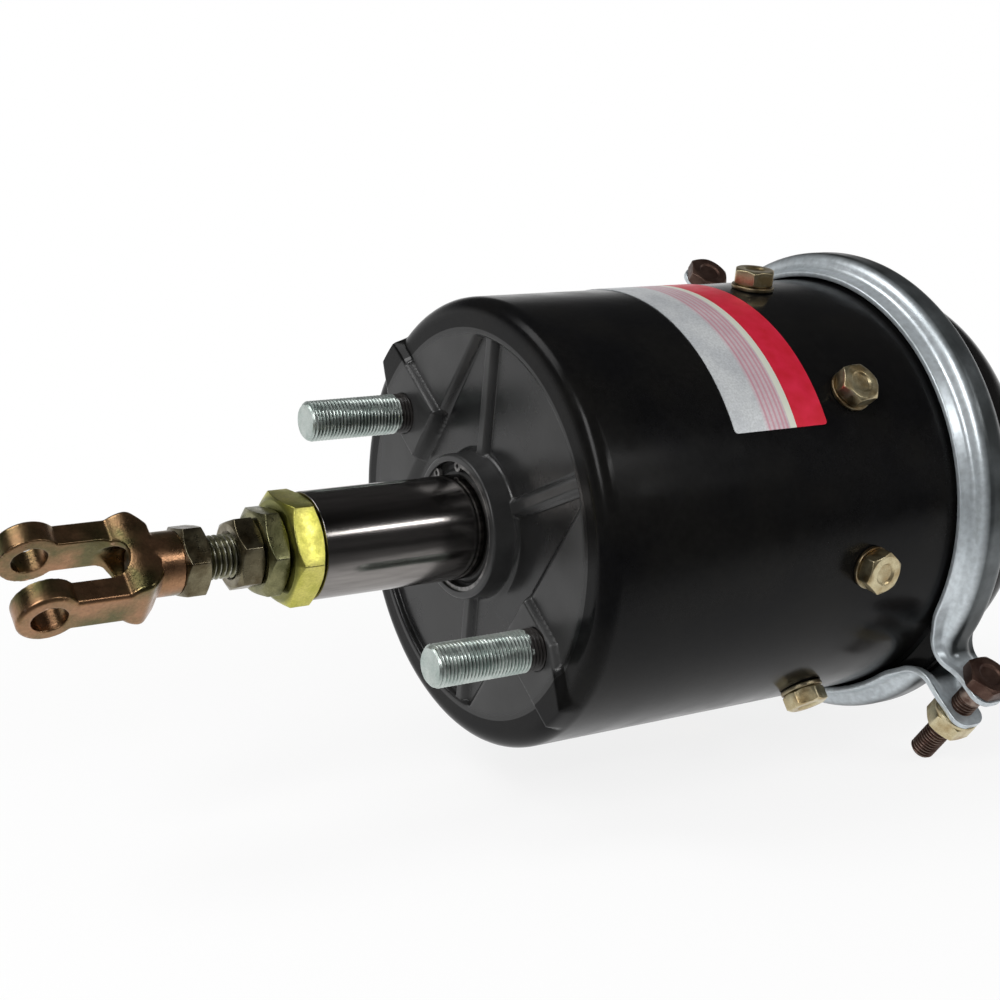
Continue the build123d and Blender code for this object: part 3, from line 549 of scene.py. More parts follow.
def drum_paint(name, ior):
    """Black enamel: glossy on the side, duller and dusty on the pressed front face, whose mottled
    grey also holds painted light on the raised parts and painted shade on the recess floor.
    """
    material = surface(name, rgb(0.0035, 0.0035, 0.0038), rgb(0.0055, 0.0053, 0.005), 0.0,
                       0.21, 0.05, 30.0, grain_scale=420.0, grain_depth=0.00002, ior=ior)
    tree = material.node_tree
    shader = tree.nodes["Principled BSDF"]
    place = add(tree, "ShaderNodeSeparateXYZ", {"Vector": coordinates(tree)}).outputs
    across = add(tree, "ShaderNodeCombineXYZ", {"Y": place["Y"], "Z": place["Z"]}).outputs[0]
    radius = add(tree, "ShaderNodeVectorMath", {0: across}, operation="LENGTH").outputs["Value"]
    rim_inner = DRUM_R - RIM_WIDTH
    # Dust with painted light: the front face's grey is full on the raised pads, ribs and collar and
    # only half on the recess floor, so the raised parts are painted lighter.
    face = sums(tree, "MULTIPLY", between(tree, place["X"], DUST_AND_LIGHT_START_X, DUST_AND_LIGHT_FULL_X),
                between(tree, radius, rim_inner + 1.5 * NEAR, rim_inner - NEAR))
    # Painted shade: the recess floor, away from the rim wall, keeps only 0.55 of the grey, which
    # paints it darker than the raised parts.
    floor = sums(tree, "MULTIPLY", between(tree, place["X"], DUST_AND_LIGHT_FULL_X, RECESS_SHADE_X),
                 between(tree, radius, rim_inner, rim_inner - 2 * NEAR))
    dust_and_shade = between(tree, cloud(tree, 38.0, (1, 1, 1), 5.0, 7.0), 0.3, 0.7, 0.35, 1.0)
    dust_and_shade = sums(tree, "MULTIPLY", dust_and_shade, between(tree, floor, 0.0, 1.0, 1.0, 0.55))
    face = sums(tree, "MULTIPLY", face, dust_and_shade)
    paint = shader.inputs["Base Color"].links[0].from_socket
    gloss = shader.inputs["Roughness"].links[0].from_socket
    # The grey painted over the front face: dust, with painted light and painted shade from the
    # masks above.
    tree.links.new(mixed(tree, face, paint, rgb(0.036, 0.036, 0.036)), shader.inputs["Base Color"])
    rough = sums(tree, "ADD", gloss, sums(tree, "MULTIPLY", face, 0.22))
    tree.links.new(rough, shader.inputs["Roughness"])
    return material


def stud_plating():
    """Clear zinc, with the drum's black paint over the root of each stud."""
    material = surface("stud_zinc", rgb(0.50, 0.56, 0.53), rgb(0.38, 0.45, 0.42), 1.0, 0.38, 0.08,
                       120.0, grain_scale=1500.0, worn=BRIGHT, hollow_color=BLACK)
    tree = material.node_tree
    shader = tree.nodes["Principled BSDF"]
    along = add(tree, "ShaderNodeSeparateXYZ", {"Vector": coordinates(tree)}).outputs["X"]
    wander = between(tree, cloud(tree, 260.0), 0.3, 0.7, -PAINT_EDGE_WANDER, PAINT_EDGE_WANDER)
    edge = sums(tree, "ADD", along, wander)
    painted = between(tree, edge, -PAINTED_ROOT, -PAINTED_ROOT + PAINT_EDGE)
    zinc = shader.inputs["Base Color"].links[0].from_socket
    tree.links.new(mixed(tree, painted, zinc, BLACK), shader.inputs["Base Color"])
    bare = sums(tree, "SUBTRACT", 1.0, painted)
    tree.links.new(bare, shader.inputs["Metallic"])
    return material


def clamp_plating():
    """White zinc, bright on the lip and front flank, with a painted dark reflection in near-black
    patches over the crown and rear; the ears keep their zinc.
    """
    material = surface("clamp_zinc", rgb(0.60, 0.65, 0.68), rgb(0.53, 0.58, 0.61), 0.62, 0.33, 0.05,
                       28.0, grain_scale=1200.0, grain_depth=0.000015, hollow_color=rgb(0.05, 0.05, 0.05))
    tree = material.node_tree
    shader = tree.nodes["Principled BSDF"]
    place = add(tree, "ShaderNodeSeparateXYZ", {"Vector": coordinates(tree)}).outputs
    across = add(tree, "ShaderNodeCombineXYZ", {"Y": place["Y"], "Z": place["Z"]}).outputs[0]
    radius = add(tree, "ShaderNodeVectorMath", {0: across}, operation="LENGTH").outputs["Value"]
    # Painted dark reflection: from just in front of the crown to the rear edge, the ring (not the
    # ears) is painted near-black in patches, standing in for the dark studio that the crown
    # reflects.
    rear = between(tree, place["X"], JOINT_X - DARK_CROWN_START, JOINT_X - DARK_CROWN_FULL)
    ear_root = EAR_TIP_R - BRIGHT_EAR
    band = between(tree, radius, ear_root, ear_root - BRIGHT_EAR_FADE)
    painted_dark_reflection = sums(tree, "MULTIPLY", sums(tree, "MULTIPLY", rear, band),
                   between(tree, cloud(tree, 46.0), 0.25, 0.6, 0.82, 1.0))
    zinc = shader.inputs["Base Color"].links[0].from_socket
    shade = mixed(tree, painted_dark_reflection, zinc, rgb(0.040, 0.045, 0.046))
    tree.links.new(shade, shader.inputs["Base Color"])
    return material


def cap_plating():
    """Yellow zinc, bright on the flats, with painted shade in dark olive on the front face."""
    material = surface("cap_zinc", rgb(0.62, 0.57, 0.15), rgb(0.42, 0.41, 0.07), 1.0, 0.34, 0.07,
                       90.0, grain_scale=1400.0, worn=rgb(0.70, 0.66, 0.38), hollow_color=BROWN)
    tree = material.node_tree
    shader = tree.nodes["Principled BSDF"]
    along = add(tree, "ShaderNodeSeparateXYZ", {"Vector": coordinates(tree)}).outputs["X"]
    # Painted shade: the front face is painted dark olive.
    skin = CAP_LOW.x + CAP_FACE_SKIN
    front = between(tree, along, skin + CAP_FACE_FADE, skin, 0.0, 0.8)
    zinc = shader.inputs["Base Color"].links[0].from_socket
    tree.links.new(mixed(tree, front, zinc, rgb(0.10, 0.105, 0.03)), shader.inputs["Base Color"])
    return material


def foil_label():
    """Silver foil with fine ruled lines, a pale stripe and a red panel."""
    material = surface("foil_label", rgb(0.62, 0.64, 0.65), rgb(0.52, 0.54, 0.56), 0.35, 0.36,
                       0.05, 90.0, grain_scale=1500.0, grain_depth=0.00001)
    tree = material.node_tree
    shader = tree.nodes["Principled BSDF"]
    foil = shader.inputs["Base Color"].links[0].from_socket
    along = add(tree, "ShaderNodeSeparateXYZ", {"Vector": coordinates(tree)}).outputs["X"]
    share = between(tree, along, LABEL_LOW.x, LABEL_HIGH.x)
    shade = mixed(tree, sums(tree, "GREATER_THAN", share, LABEL_PALE_SHARE), foil,
                  rgb(0.70, 0.72, 0.62))
    crimson = mixed(tree, between(tree, cloud(tree, 160.0), 0.3, 0.7), rgb(0.60, 0.012, 0.03),
                    rgb(0.70, 0.02, 0.06))
    shade = mixed(tree, sums(tree, "GREATER_THAN", share, LABEL_RED_SHARE), shade, crimson)
    first_line = LABEL_LINES[0]
    wash = between(tree, share, first_line - LABEL_WASH_FADE, first_line, 0.0, 0.5)
    wash = sums(tree, "MULTIPLY", wash, between(
        tree, share, LABEL_PALE_SHARE + LABEL_BLUR, LABEL_PALE_SHARE - LABEL_BLUR))
    shade = mixed(tree, wash, shade, rgb(0.62, 0.40, 0.45))
    for low in LABEL_LINES:
        line = sums(tree, "MULTIPLY", sums(tree, "GREATER_THAN", share, low),
                    sums(tree, "LESS_THAN", share, low + LABEL_LINE_WIDTH))
        line = sums(tree, "MULTIPLY", line, 0.45)
        shade = mixed(tree, line, shade, rgb(0.55, 0.10, 0.17))
    tree.links.new(shade, shader.inputs["Base Color"])
    return material


BLACK = rgb(0.012, 0.010, 0.009)
BROWN = rgb(0.10, 0.060, 0.035)
BRIGHT = rgb(0.72, 0.72, 0.70)

PAINT = drum_paint("drum_paint", 1.19)
FACE_PAINT = drum_paint("drum_face_paint", 1.42)
COVER_PAINT = surface("cover_paint", rgb(0.005, 0.005, 0.0053), rgb(0.008, 0.0077, 0.0074), 0.0,
                      0.20, 0.06, 30.0, grain_scale=380.0, grain_depth=0.00004, ior=1.25)
STUD_ZINC = stud_plating()
CLAMP_ZINC = clamp_plating()
TUBE_STEEL = surface("tube_steel", rgb(0.25, 0.235, 0.225), rgb(0.21, 0.197, 0.188), 1.0, 0.16,
                     0.02, 40.0, (0.12, 1, 1), grain_scale=1400.0, grain_depth=0.000006,
                     grain_stretch=(0.03, 1, 1))
CAP_ZINC = cap_plating()
HEX_ZINC = surface("hex_zinc", rgb(0.22, 0.21, 0.105), rgb(0.10, 0.10, 0.045), 1.0, 0.32, 0.08,
                   110.0, grain_scale=1500.0, worn=rgb(0.50, 0.50, 0.38), hollow_color=BLACK)
NUT_ZINC = surface("nut_zinc", rgb(0.20, 0.175, 0.11), rgb(0.085, 0.065, 0.035), 1.0, 0.31, 0.08,
                   120.0, grain_scale=1500.0, worn=rgb(0.52, 0.49, 0.42), hollow_color=BLACK)
ROD_ZINC = surface("rod_zinc", rgb(0.22, 0.21, 0.13), rgb(0.13, 0.13, 0.07), 1.0, 0.38, 0.08,
                   140.0, grain_scale=1500.0, worn=BRIGHT, hollow_color=BLACK)
YOKE_ZINC = surface("yoke_zinc", rgb(0.34, 0.185, 0.10), rgb(0.12, 0.105, 0.045), 1.0, 0.30, 0.07,
                    62.0, grain_scale=1100.0, grain_depth=0.00006,
                    worn=rgb(0.62, 0.40, 0.28), hollow_color=rgb(0.04, 0.015, 0.01))
WASHER_ZINC = surface("washer_zinc", rgb(0.30, 0.26, 0.17), rgb(0.18, 0.12, 0.06), 1.0, 0.38,
                      0.08, 150.0, grain_scale=1500.0, hollow_color=BLACK)
BOLT_ZINC = surface("bolt_zinc", rgb(0.60, 0.53, 0.34), rgb(0.38, 0.28, 0.14), 1.0, 0.36, 0.08,
                    150.0, grain_scale=1500.0, worn=rgb(0.70, 0.66, 0.52), hollow_color=BROWN)
# Painted shade: the clamp bolts are yellow zinc, painted dark brown as they look in the shade of
# the lug.
CLAMP_BOLT_SHADED_ZINC = surface("clamp_bolt_steel", rgb(0.11, 0.065, 0.05), rgb(0.06, 0.03, 0.022),
                           0.85, 0.42, 0.08, 140.0, grain_scale=1500.0,
                           worn=rgb(0.40, 0.32, 0.27), hollow_color=BLACK)
PLATED_STEEL = surface("plated_steel", rgb(0.55, 0.55, 0.53), rgb(0.42, 0.42, 0.40), 1.0, 0.34,
                       0.07, 120.0, worn=BRIGHT, hollow_color=BLACK)
DARK_STEEL = surface("dark_steel", rgb(0.10, 0.10, 0.10), rgb(0.065, 0.062, 0.06), 0.8, 0.42, 0.08,
                     90.0, worn=rgb(0.35, 0.34, 0.33))
CAST_ALUMINIUM = surface("cast_aluminium", rgb(0.52, 0.52, 0.51), rgb(0.42, 0.42, 0.42), 1.0,
                         0.46, 0.08, 80.0, grain_scale=700.0, grain_depth=0.00012)
BRONZE = surface("bronze", rgb(0.46, 0.30, 0.14), rgb(0.36, 0.22, 0.10), 1.0, 0.34, 0.06, 90.0)
COPPER = surface("copper", rgb(0.60, 0.28, 0.17), rgb(0.44, 0.20, 0.12), 1.0, 0.32, 0.06, 90.0)
RUBBER = surface("rubber", rgb(0.018, 0.018, 0.018), rgb(0.028, 0.027, 0.026), 0.0, 0.58, 0.08,
                 70.0, grain_scale=1600.0, grain_depth=0.00005)
FABRIC_RUBBER = surface("fabric_rubber", rgb(0.022, 0.022, 0.022), rgb(0.035, 0.034, 0.033), 0.0,
                        0.62, 0.06, 60.0, grain_scale=2200.0, grain_depth=0.00008)
FOIL = foil_label()


# ---------------------------------------------------------------------------------------------
# Drum


def drum_outline():
    end = DRUM_HIGH.x
    bore = DRUM_R - DRUM_WALL
    rim_inner = DRUM_R - RIM_WIDTH
    corners = [
        (DRUM_LOW.x, COLLAR_BORE_R, SMALL_ROUND / 2),
        (DRUM_LOW.x, COLLAR_R, COLLAR_ROUND),
        (FLOOR_X, COLLAR_R, COLLAR_ROOT_ROUND),
        (FLOOR_X, rim_inner, FACE_ROUND),
        (RIM_X, rim_inner, RIM_EDGE_ROUND),
        (RIM_X, DRUM_R, RIM_ROUND),
        (end - FLANGE_REACH - FLANGE_FLARE, DRUM_R, SMALL_ROUND),
        (end - FLANGE_REACH, FLANGE_ROOT_R, SMALL_ROUND),
        (end - FLANGE_EDGE, FLANGE_R, FLANGE_ROUND),
        (end, FLANGE_R, FLANGE_ROUND / 2),
        (end, bore, SMALL_ROUND),
        (PLATE_INNER_X, bore, 5 * SMALL_ROUND),
        (PLATE_INNER_X, INNER_BOSS_R, SMALL_ROUND),
        (INNER_BOSS_X, INNER_BOSS_R, SMALL_ROUND),
        (INNER_BOSS_X, COLLAR_BORE_R, SMALL_ROUND),
    ]
    return corners


def face_lift(base_x, y, z):
    """How far the pressed pads, stud bosses and ribs stand out of the turned face."""
    radius = np.hypot(y, z)
    stud = radians(STUD_ANGLE)
    towards = -y * sin(stud) - z * cos(stud)
    along = np.abs(towards)
    across = np.sign(towards) * (z * sin(stud) - y * cos(stud))
    slope = RELIEF_SLOPE
    chord = smooth_step(along, STUD_BOSS_INNER - slope, STUD_BOSS_INNER + slope)
    pad = np.maximum(base_x - RIM_X, 0) * chord * (radius < DRUM_R - RIM_ROUND)
    cut = (across - STUD_BOSS_NARROW_SIDE) * STUD_BOSS_CUT_ALONG
    cut += (along - DRUM_R + STUD_BOSS_CUT_ALONG) * STUD_BOSS_CUT_ACROSS
    cut /= hypot(STUD_BOSS_CUT_ACROSS, STUD_BOSS_CUT_ALONG)
    beyond = np.maximum(-across - STUD_BOSS_WIDE_SIDE, across - STUD_BOSS_NARROW_SIDE)
    sides = 1 - smooth_step(np.maximum(beyond, cut), -slope, slope)
    outer = 1 - smooth_step(radius, STUD_BOSS_R - slope / 2, STUD_BOSS_R + slope / 2)
    lift = np.maximum(pad, base_x * chord * sides * outer)
    for turn in (-RIB_TURN, RIB_TURN):
        angle = radians(STUD_ANGLE + turn)
        off = np.abs(y * cos(angle) - z * sin(angle))
        rib = 1 - smooth_step(off, RIB_WIDTH / 2 - slope / 2, RIB_WIDTH / 2 + slope)
        rib = rib * (radius < DRUM_R - RIM_ROUND)
        lift = np.maximum(lift, np.maximum(base_x - FLOOR_X + RIB_HEIGHT, 0) * rib)
    return lift


def drum_mesh():
    """Turned shell whose front face is pressed into pads, bosses and ribs."""
    columns = FACE_COLUMNS
    outline = []
    for x, radius in divided(rounded(drum_outline(), 8), FACE_STEP):
        on_face = x < FACE_REACH and radius > COLLAR_BORE_R + NEAR
        along_side = SIDE_SETBACK < x < DRUM_HIGH.x - SIDE_SETBACK
        long_wall = radius > DRUM_R - DRUM_WALL - NEAR and along_side
        if on_face or not long_wall or len(outline) % SIDE_STRIDE == 0:
            outline.append((x, radius))
    x, radius = np.asarray(outline, float).T
    angle = np.linspace(0, 2 * pi, columns, endpoint=False)
    y = radius[:, None] * np.sin(angle)
    z = radius[:, None] * np.cos(angle)
    base = np.repeat(x[:, None], columns, axis=1)
    on_front = ((x < FACE_REACH) & (radius > COLLAR_R))[:, None]
    lifted = base - face_lift(base, y, z) * on_front
    return grid_mesh(np.stack([lifted, y, z], axis=-1), wrap_rows=True)


def paint_face(shell):
    """Gives the pressed front face, up to the rim's inner edge, the face paint."""
    shell.data.materials.append(FACE_PAINT)
    for polygon in shell.data.polygons:
        place = polygon.center
        within_rim = hypot(place.y, place.z) < DRUM_R - RIM_WIDTH + RIM_SHINE
        if within_rim and place.x < FACE_PAINT_DEPTH:
            polygon.material_index = 1


paint_face(piece("drum_shell", [drum_mesh()], "chamber", PAINT, ["drum_body"]))


# ---------------------------------------------------------------------------------------------
# Push rod


def nut_mesh(flats, low, high, bore, turn):
    body = hexagon(flats, high.x - low.x, bore)
    return moved(body, facing_x(low.x) @ Matrix.Rotation(radians(turn), 4, "Z"))


def rod_mesh():
    return moved(threaded(ROD_R, COARSE_PITCH, -ROD_HIGH.x, -ROD_LOW.x, ROD_CHAMFER),
                 facing_x(0, -1))


def yoke_mesh():
    """The yoke's own shape, remeshed and smoothed so that every edge is a forged round."""
    source = bpy.data.objects["yoke"]
    work = bpy.data.objects.new("yoke_work", source.data.copy())
    work.data.transform(source.matrix_world)
    bpy.context.scene.collection.objects.link(work)
    weld = work.modifiers.new("weld", "WELD")
    weld.merge_threshold = 1e-6
    remesh = work.modifiers.new("remesh", "REMESH")
    remesh.mode = "VOXEL"
    remesh.voxel_size = YOKE_VOXEL
    smooth = work.modifiers.new("smooth", "SMOOTH")
    smooth.factor = 0.5
    smooth.iterations = YOKE_SMOOTHING
    shape = work.evaluated_get(bpy.context.evaluated_depsgraph_get())
    mesh = bpy.data.meshes.new_from_object(shape)
    bpy.data.objects.remove(work)
    return mesh


piece("tube", [ring(TUBE_LOW.x, TUBE_HIGH.x, TUBE_BORE_R, TUBE_R)], "push_rod",
      TUBE_STEEL, ["push_tube"])
piece("cap", [nut_mesh(CAP_FLATS, CAP_LOW, CAP_HIGH, ROD_R, CAP_TURN)], "push_rod",
      CAP_ZINC, ["tube_cap"])
piece("cap_hexagon", [nut_mesh(CAP_HEX_FLATS, CAP_HEX_LOW, CAP_HEX_HIGH, ROD_R, CAP_HEX_TURN)],
      "push_rod", HEX_ZINC, ["cap_hex"])
piece("lock_nut_shape", [nut_mesh(ROD_FLATS, LOCK_NUT_LOW, LOCK_NUT_HIGH, ROD_R, LOCK_NUT_TURN)],
      "push_rod", NUT_ZINC, ["lock_nut"])
piece("jam_nut_shape", [nut_mesh(ROD_FLATS, JAM_NUT_LOW, JAM_NUT_HIGH, ROD_R, JAM_NUT_TURN)],
      "push_rod", NUT_ZINC, ["jam_nut"])
piece("rod", [rod_mesh()], "push_rod", ROD_ZINC, ["threaded_rod"])
piece("fork", [yoke_mesh()], "yoke", YOKE_ZINC, ["yoke"], sharp=80.0)


# ---------------------------------------------------------------------------------------------
# Studs, radial bolts and washers


def stud_meshes(side):
    place = at_angle(STUD_ANGLE) @ Matrix.Translation((0, 0, side * STUD_SPACING / 2))
    thread = threaded(STUD_R, FINE_PITCH, 0, -STUD_LOW.x, STUD_CHAMFER)
    shoulder = shank(STUD_SHOULDER_R, 0, PLATE_INNER_X)
    head = hexagon(STUD_FLATS, STUD_HIGH.x - PLATE_INNER_X)
    return [moved(thread, place @ facing_x(0, -1)), moved(shoulder, place @ facing_x(0)),
            moved(head, place @ facing_x(PLATE_INNER_X))]


def washer(outer_r, hole_r, foot, thickness, columns=64):
    """Washer along +Z, its foot at the given height."""
    flat = ring(0, thickness, hole_r, outer_r, thickness / 4, columns)
    return moved(flat, Matrix.Translation((0, 0, foot)) @ Matrix.Rotation(radians(-90), 4, "Y"))


def ring_bolt_places():
    for i in range(RING_BOLT_COUNT):
        angle = RING_BOLT_ANGLE + 360 * i / RING_BOLT_COUNT
        yield angle, at_angle(angle) @ Matrix.Translation((RING_BOLT_X, 0, 0))


def ring_bolt_mesh(angle, place):
    foot = DRUM_R + RING_WASHER_THICKNESS + 2 * LAID_GAP
    turn = Matrix.Rotation(radians(angle), 4, "Z")
    head = moved(hexagon(RING_BOLT_FLATS, BOLT_HEAD), Matrix.Translation((0, 0, foot)))
    body = shank(BOLT_R, RING_BOLT_TIP_R, foot)
    return [moved(head, place @ turn), moved(body, place)]


piece("studs", stud_meshes(1) + stud_meshes(-1), "chamber", STUD_ZINC,
      ["mounting_studs"])
ring_bolt_meshes = []
ring_washer_meshes = []
for roll, spot in ring_bolt_places():
    ring_bolt_meshes += ring_bolt_mesh(roll, spot)
    flat = washer(RING_WASHER_R, BOLT_R, DRUM_R + LAID_GAP, RING_WASHER_THICKNESS)
    ring_washer_meshes.append(moved(flat, spot))
piece("ring_bolts", ring_bolt_meshes, "chamber", BOLT_ZINC,
      ["guide_ring_bolts"])
piece("ring_washers", ring_washer_meshes, "chamber", WASHER_ZINC,
      ["guide_ring_washers"])


# ---------------------------------------------------------------------------------------------
# V clamp


def even_points(corners, bend, count):
    """Points at even steps along an open line of (a, b) corners, each corner bent round."""
    line = [corners[0]]
    for before, here, after in zip(corners, corners[1:], corners[2:]):
        line.extend(corner_arc(before, here, after, bend, 10))
    line = np.asarray(line + [corners[-1]])
    run = np.concatenate([[0], np.cumsum(np.hypot(*np.diff(line, axis=0).T))])
    stops = np.linspace(0, run[-1], count)
    return np.stack([np.interp(stops, run, line[:, 0]), np.interp(stops, run, line[:, 1])], axis=1)


def sheet_outline(middle, thickness, edge):
    """Closed outline of a sheet's section round its mid-line, both edges rounded."""
    ahead = np.gradient(middle, axis=0)
    ahead /= np.hypot(*ahead.T)[:, None]
    normal = np.stack([-ahead[:, 1], ahead[:, 0]], axis=1)
    half = thickness / 2
    turn = np.linspace(0, pi / 2, 4)[:, None]
    reach = edge * (np.sin(turn) - 1)
    rise = half - edge + edge * np.cos(turn)
    end_top = middle[-1] + ahead[-1] * reach + normal[-1] * rise
    end_foot = (middle[-1] + ahead[-1] * reach - normal[-1] * rise)[::-1]
    start_foot = middle[0] - ahead[0] * reach - normal[0] * rise
    start_top = (middle[0] - ahead[0] * reach + normal[0] * rise)[::-1]
    inner = slice(2, -2)
    return np.concatenate([middle[inner] + normal[inner] * half, end_top, end_foot,
                           (middle[inner] - normal[inner] * half)[::-1], start_foot, start_top])


def band_path():
    """(v, w, angle of the way ahead, run from the tip) stations of half a clamp half.

    The ear comes down parallel to the split plane, then a bend leads into the circle.
    """
    ear_v = EAR_GAP / 2 + EAR_THICKNESS - BAND_THICKNESS / 2
    ring_r = BAND_CROWN_R + BAND_THICKNESS / 2
    centre_v = ear_v + EAR_BEND
    centre_w = sqrt((ring_r + EAR_BEND) ** 2 - centre_v ** 2)
    stations = []
    for share in np.concatenate([1 - np.cos(np.linspace(0, pi / 2, 9)), np.linspace(1.4, 3, 7)]):
        w = EAR_TIP_R - share * EAR_CORNER
        if w > centre_w + NEAR / 2:
            stations.append((ear_v, w, -90.0))
    leave = degrees(asin(centre_v / (ring_r + EAR_BEND)))
    for angle in np.linspace(-90.0, -leave, 16):
        a = radians(angle)
        stations.append((centre_v + EAR_BEND * sin(a), centre_w - EAR_BEND * cos(a), angle))
    for roll in np.linspace(leave, 90.0, BAND_STATIONS)[1:]:
        a = radians(roll)
        stations.append((ring_r * sin(a), ring_r * cos(a), -roll))
    return stations


def band_half_mesh(turn):
    ring_r = BAND_CROWN_R + BAND_THICKNESS / 2
    corners = [(-BAND_HEEL_HALF - BAND_LIP, BAND_LIP_R), (-BAND_HEEL_HALF, BAND_HEEL_R),
               (-BAND_CROWN_HALF, BAND_CROWN_R)]
    corners += [(-a, b) for a, b in reversed(corners)]
    shift = BAND_THICKNESS / 2 - ring_r
    channel = even_points([(a, b + shift) for a, b in corners], BAND_BEND, BAND_POINTS)
    flat = np.stack([np.linspace(-EAR_WIDTH / 2, EAR_WIDTH / 2, BAND_POINTS),
                     np.zeros(BAND_POINTS)], axis=1)
    rows = []
    stations = band_path()
    run = 0.0
    last = stations[0]
    for v, w, angle in stations:
        run += hypot(v - last[0], w - last[1])
        last = (v, w)
        share = smooth_step(run, BAND_FADE_START, BAND_FADE_END)
        middle = flat * (1 - share) + channel * share
        depth = EAR_CORNER - min(run, EAR_CORNER)
        half_width = EAR_WIDTH / 2 - EAR_CORNER + sqrt(max(EAR_CORNER ** 2 - depth ** 2, 0))
        narrow = share + (1 - share) * half_width / (EAR_WIDTH / 2)
        middle = middle * (narrow, 1)
        section = sheet_outline(middle, BAND_THICKNESS, SHEET_EDGE)
        ahead = radians(angle)
        out_v, out_w = -sin(ahead), cos(ahead)
        rows.append(np.stack([JOINT_X + section[:, 0], v + section[:, 1] * out_v,
                              w + section[:, 1] * out_w], axis=1))
    mirrored = [row * (1, 1, -1) for row in reversed(rows[:-1])]
    mesh = grid_mesh(rows + mirrored, caps=True)
    return moved(mesh, at_angle(turn))


def clamp_fastening(side):
    """(bolt meshes, nut meshes, washer meshes) across one split; side gives the head's side."""
    foot = EAR_GAP / 2 + EAR_THICKNESS + LAID_GAP
    washer_end = foot + CLAMP_WASHER_THICKNESS
    nut_end = washer_end + CLAMP_NUT_HEIGHT
    turn = at_angle(CLAMP_ANGLE if side > 0 else CLAMP_ANGLE + 180)
    place = (turn @ Matrix.Translation((JOINT_X, 0, CLAMP_BOLT_RADIUS))
             @ Matrix.Rotation(radians(-90 * side), 4, "X"))
    flip = Matrix.Rotation(pi, 4, "X")
    tail = moved(threaded(BOLT_R, FINE_PITCH, 0, CLAMP_BOLT_TAIL, CLAMP_BOLT_CHAMFER),
                 place @ flip)
    neck = moved(shank(BOLT_R, 0, foot), place)
    head = moved(hexagon(CLAMP_BOLT_FLATS, BOLT_HEAD),
                 place @ Matrix.Translation((0, 0, foot)))
    nut = moved(hexagon(CLAMP_BOLT_FLATS, CLAMP_NUT_HEIGHT, BOLT_R),
                place @ Matrix.Translation((0, 0, -nut_end)))
    flat = moved(washer(CLAMP_WASHER_R, BOLT_R, -washer_end, CLAMP_WASHER_THICKNESS), place)
    return [tail, neck, head], [nut], [flat]


piece("clamp_upper", [band_half_mesh(CLAMP_ANGLE)], "chamber", CLAMP_ZINC,
      ["clamp_half_upper"], sharp=50.0)
piece("clamp_lower", [band_half_mesh(CLAMP_ANGLE + 180)], "chamber", CLAMP_ZINC,
      ["clamp_half_lower"], sharp=50.0)
near, far = clamp_fastening(1), clamp_fastening(-1)
piece("clamp_bolt_pair", near[0] + far[0], "chamber", CLAMP_BOLT_SHADED_ZINC,
      ["clamp_bolts"])
piece("clamp_nut_pair", near[1] + far[1], "chamber", BOLT_ZINC, ["clamp_nuts"])
piece("clamp_washer_pair", near[2] + far[2], "chamber", BOLT_ZINC,
      ["clamp_washers"])


# ---------------------------------------------------------------------------------------------
# Label


def label_mesh():
    """Thin foil plate wrapped on the drum, its corners rounded."""
    start, end = LABEL_ANGLES
    inner, outer = DRUM_R + LAID_GAP, LABEL_R
    edge = LABEL_CORNER / outer
    turns = np.concatenate([edge * (1 - np.cos(np.linspace(0, pi / 2, 9))),
                            np.linspace(edge, radians(end - start) / 2, 60)[1:]])
    turns = np.concatenate([turns, radians(end - start) - turns[-2::-1]])
    rows = []
    middle = (LABEL_LOW.x + LABEL_HIGH.x) / 2
    for turn in turns:
        depth = max(edge - min(turn, turns[-1] - turn), 0) * outer
        half = (LABEL_HIGH.x - LABEL_LOW.x) / 2 - LABEL_CORNER
        half += sqrt(LABEL_CORNER ** 2 - depth ** 2)
        angle = radians(start) + turn
        across = np.linspace(-half, half, 40)
        section = [(middle + a, outer) for a in across]
        section += [(middle + a, inner) for a in across[::-1]]
        rows.append([(x, -r * sin(angle), -r * cos(angle)) for x, r in section])
    return grid_mesh(rows, caps=True)


piece("label_plate", [label_mesh()], "chamber", FOIL, ["rating_label"])


# ---------------------------------------------------------------------------------------------
# Rear cover and ports


def cover_mesh():
    start = COVER_LOW.x
    rear = COVER_HIGH.x
    bore = COVER_R - COVER_WALL
    corners = [
        (start, bore, SMALL_ROUND / 2), (start, FLANGE_R, FLANGE_ROUND / 2),
        (start + FLANGE_EDGE, FLANGE_R, FLANGE_ROUND),
        (start + FLANGE_REACH, FLANGE_ROOT_R, 2 * SMALL_ROUND),
        (start + FLANGE_REACH + COVER_FLARE, COVER_R, 2 * SMALL_ROUND),
        (rear, COVER_R, COVER_ROUND), (rear, 0, 0), (rear - COVER_WALL, 0, 0),
        (rear - COVER_WALL, bore, COVER_ROUND - COVER_WALL)]
    return turned(rounded(corners, 24))


def port_place(angle):
    return at_angle(angle) @ Matrix.Translation((0, 0, PORT_OFFSET))


def plug_meshes():
    place = port_place(PORT_ANGLES[1])
    foot = PLUG_WASHER_HIGH.x
    body = shank(PORT_BORE_R - LAID_GAP, PLUG_LOW.x, foot)
    head = hexagon(PLUG_FLATS, PLUG_HIGH.x - foot)
    return [moved(body, place @ facing_x(0)), moved(head, place @ facing_x(foot))]


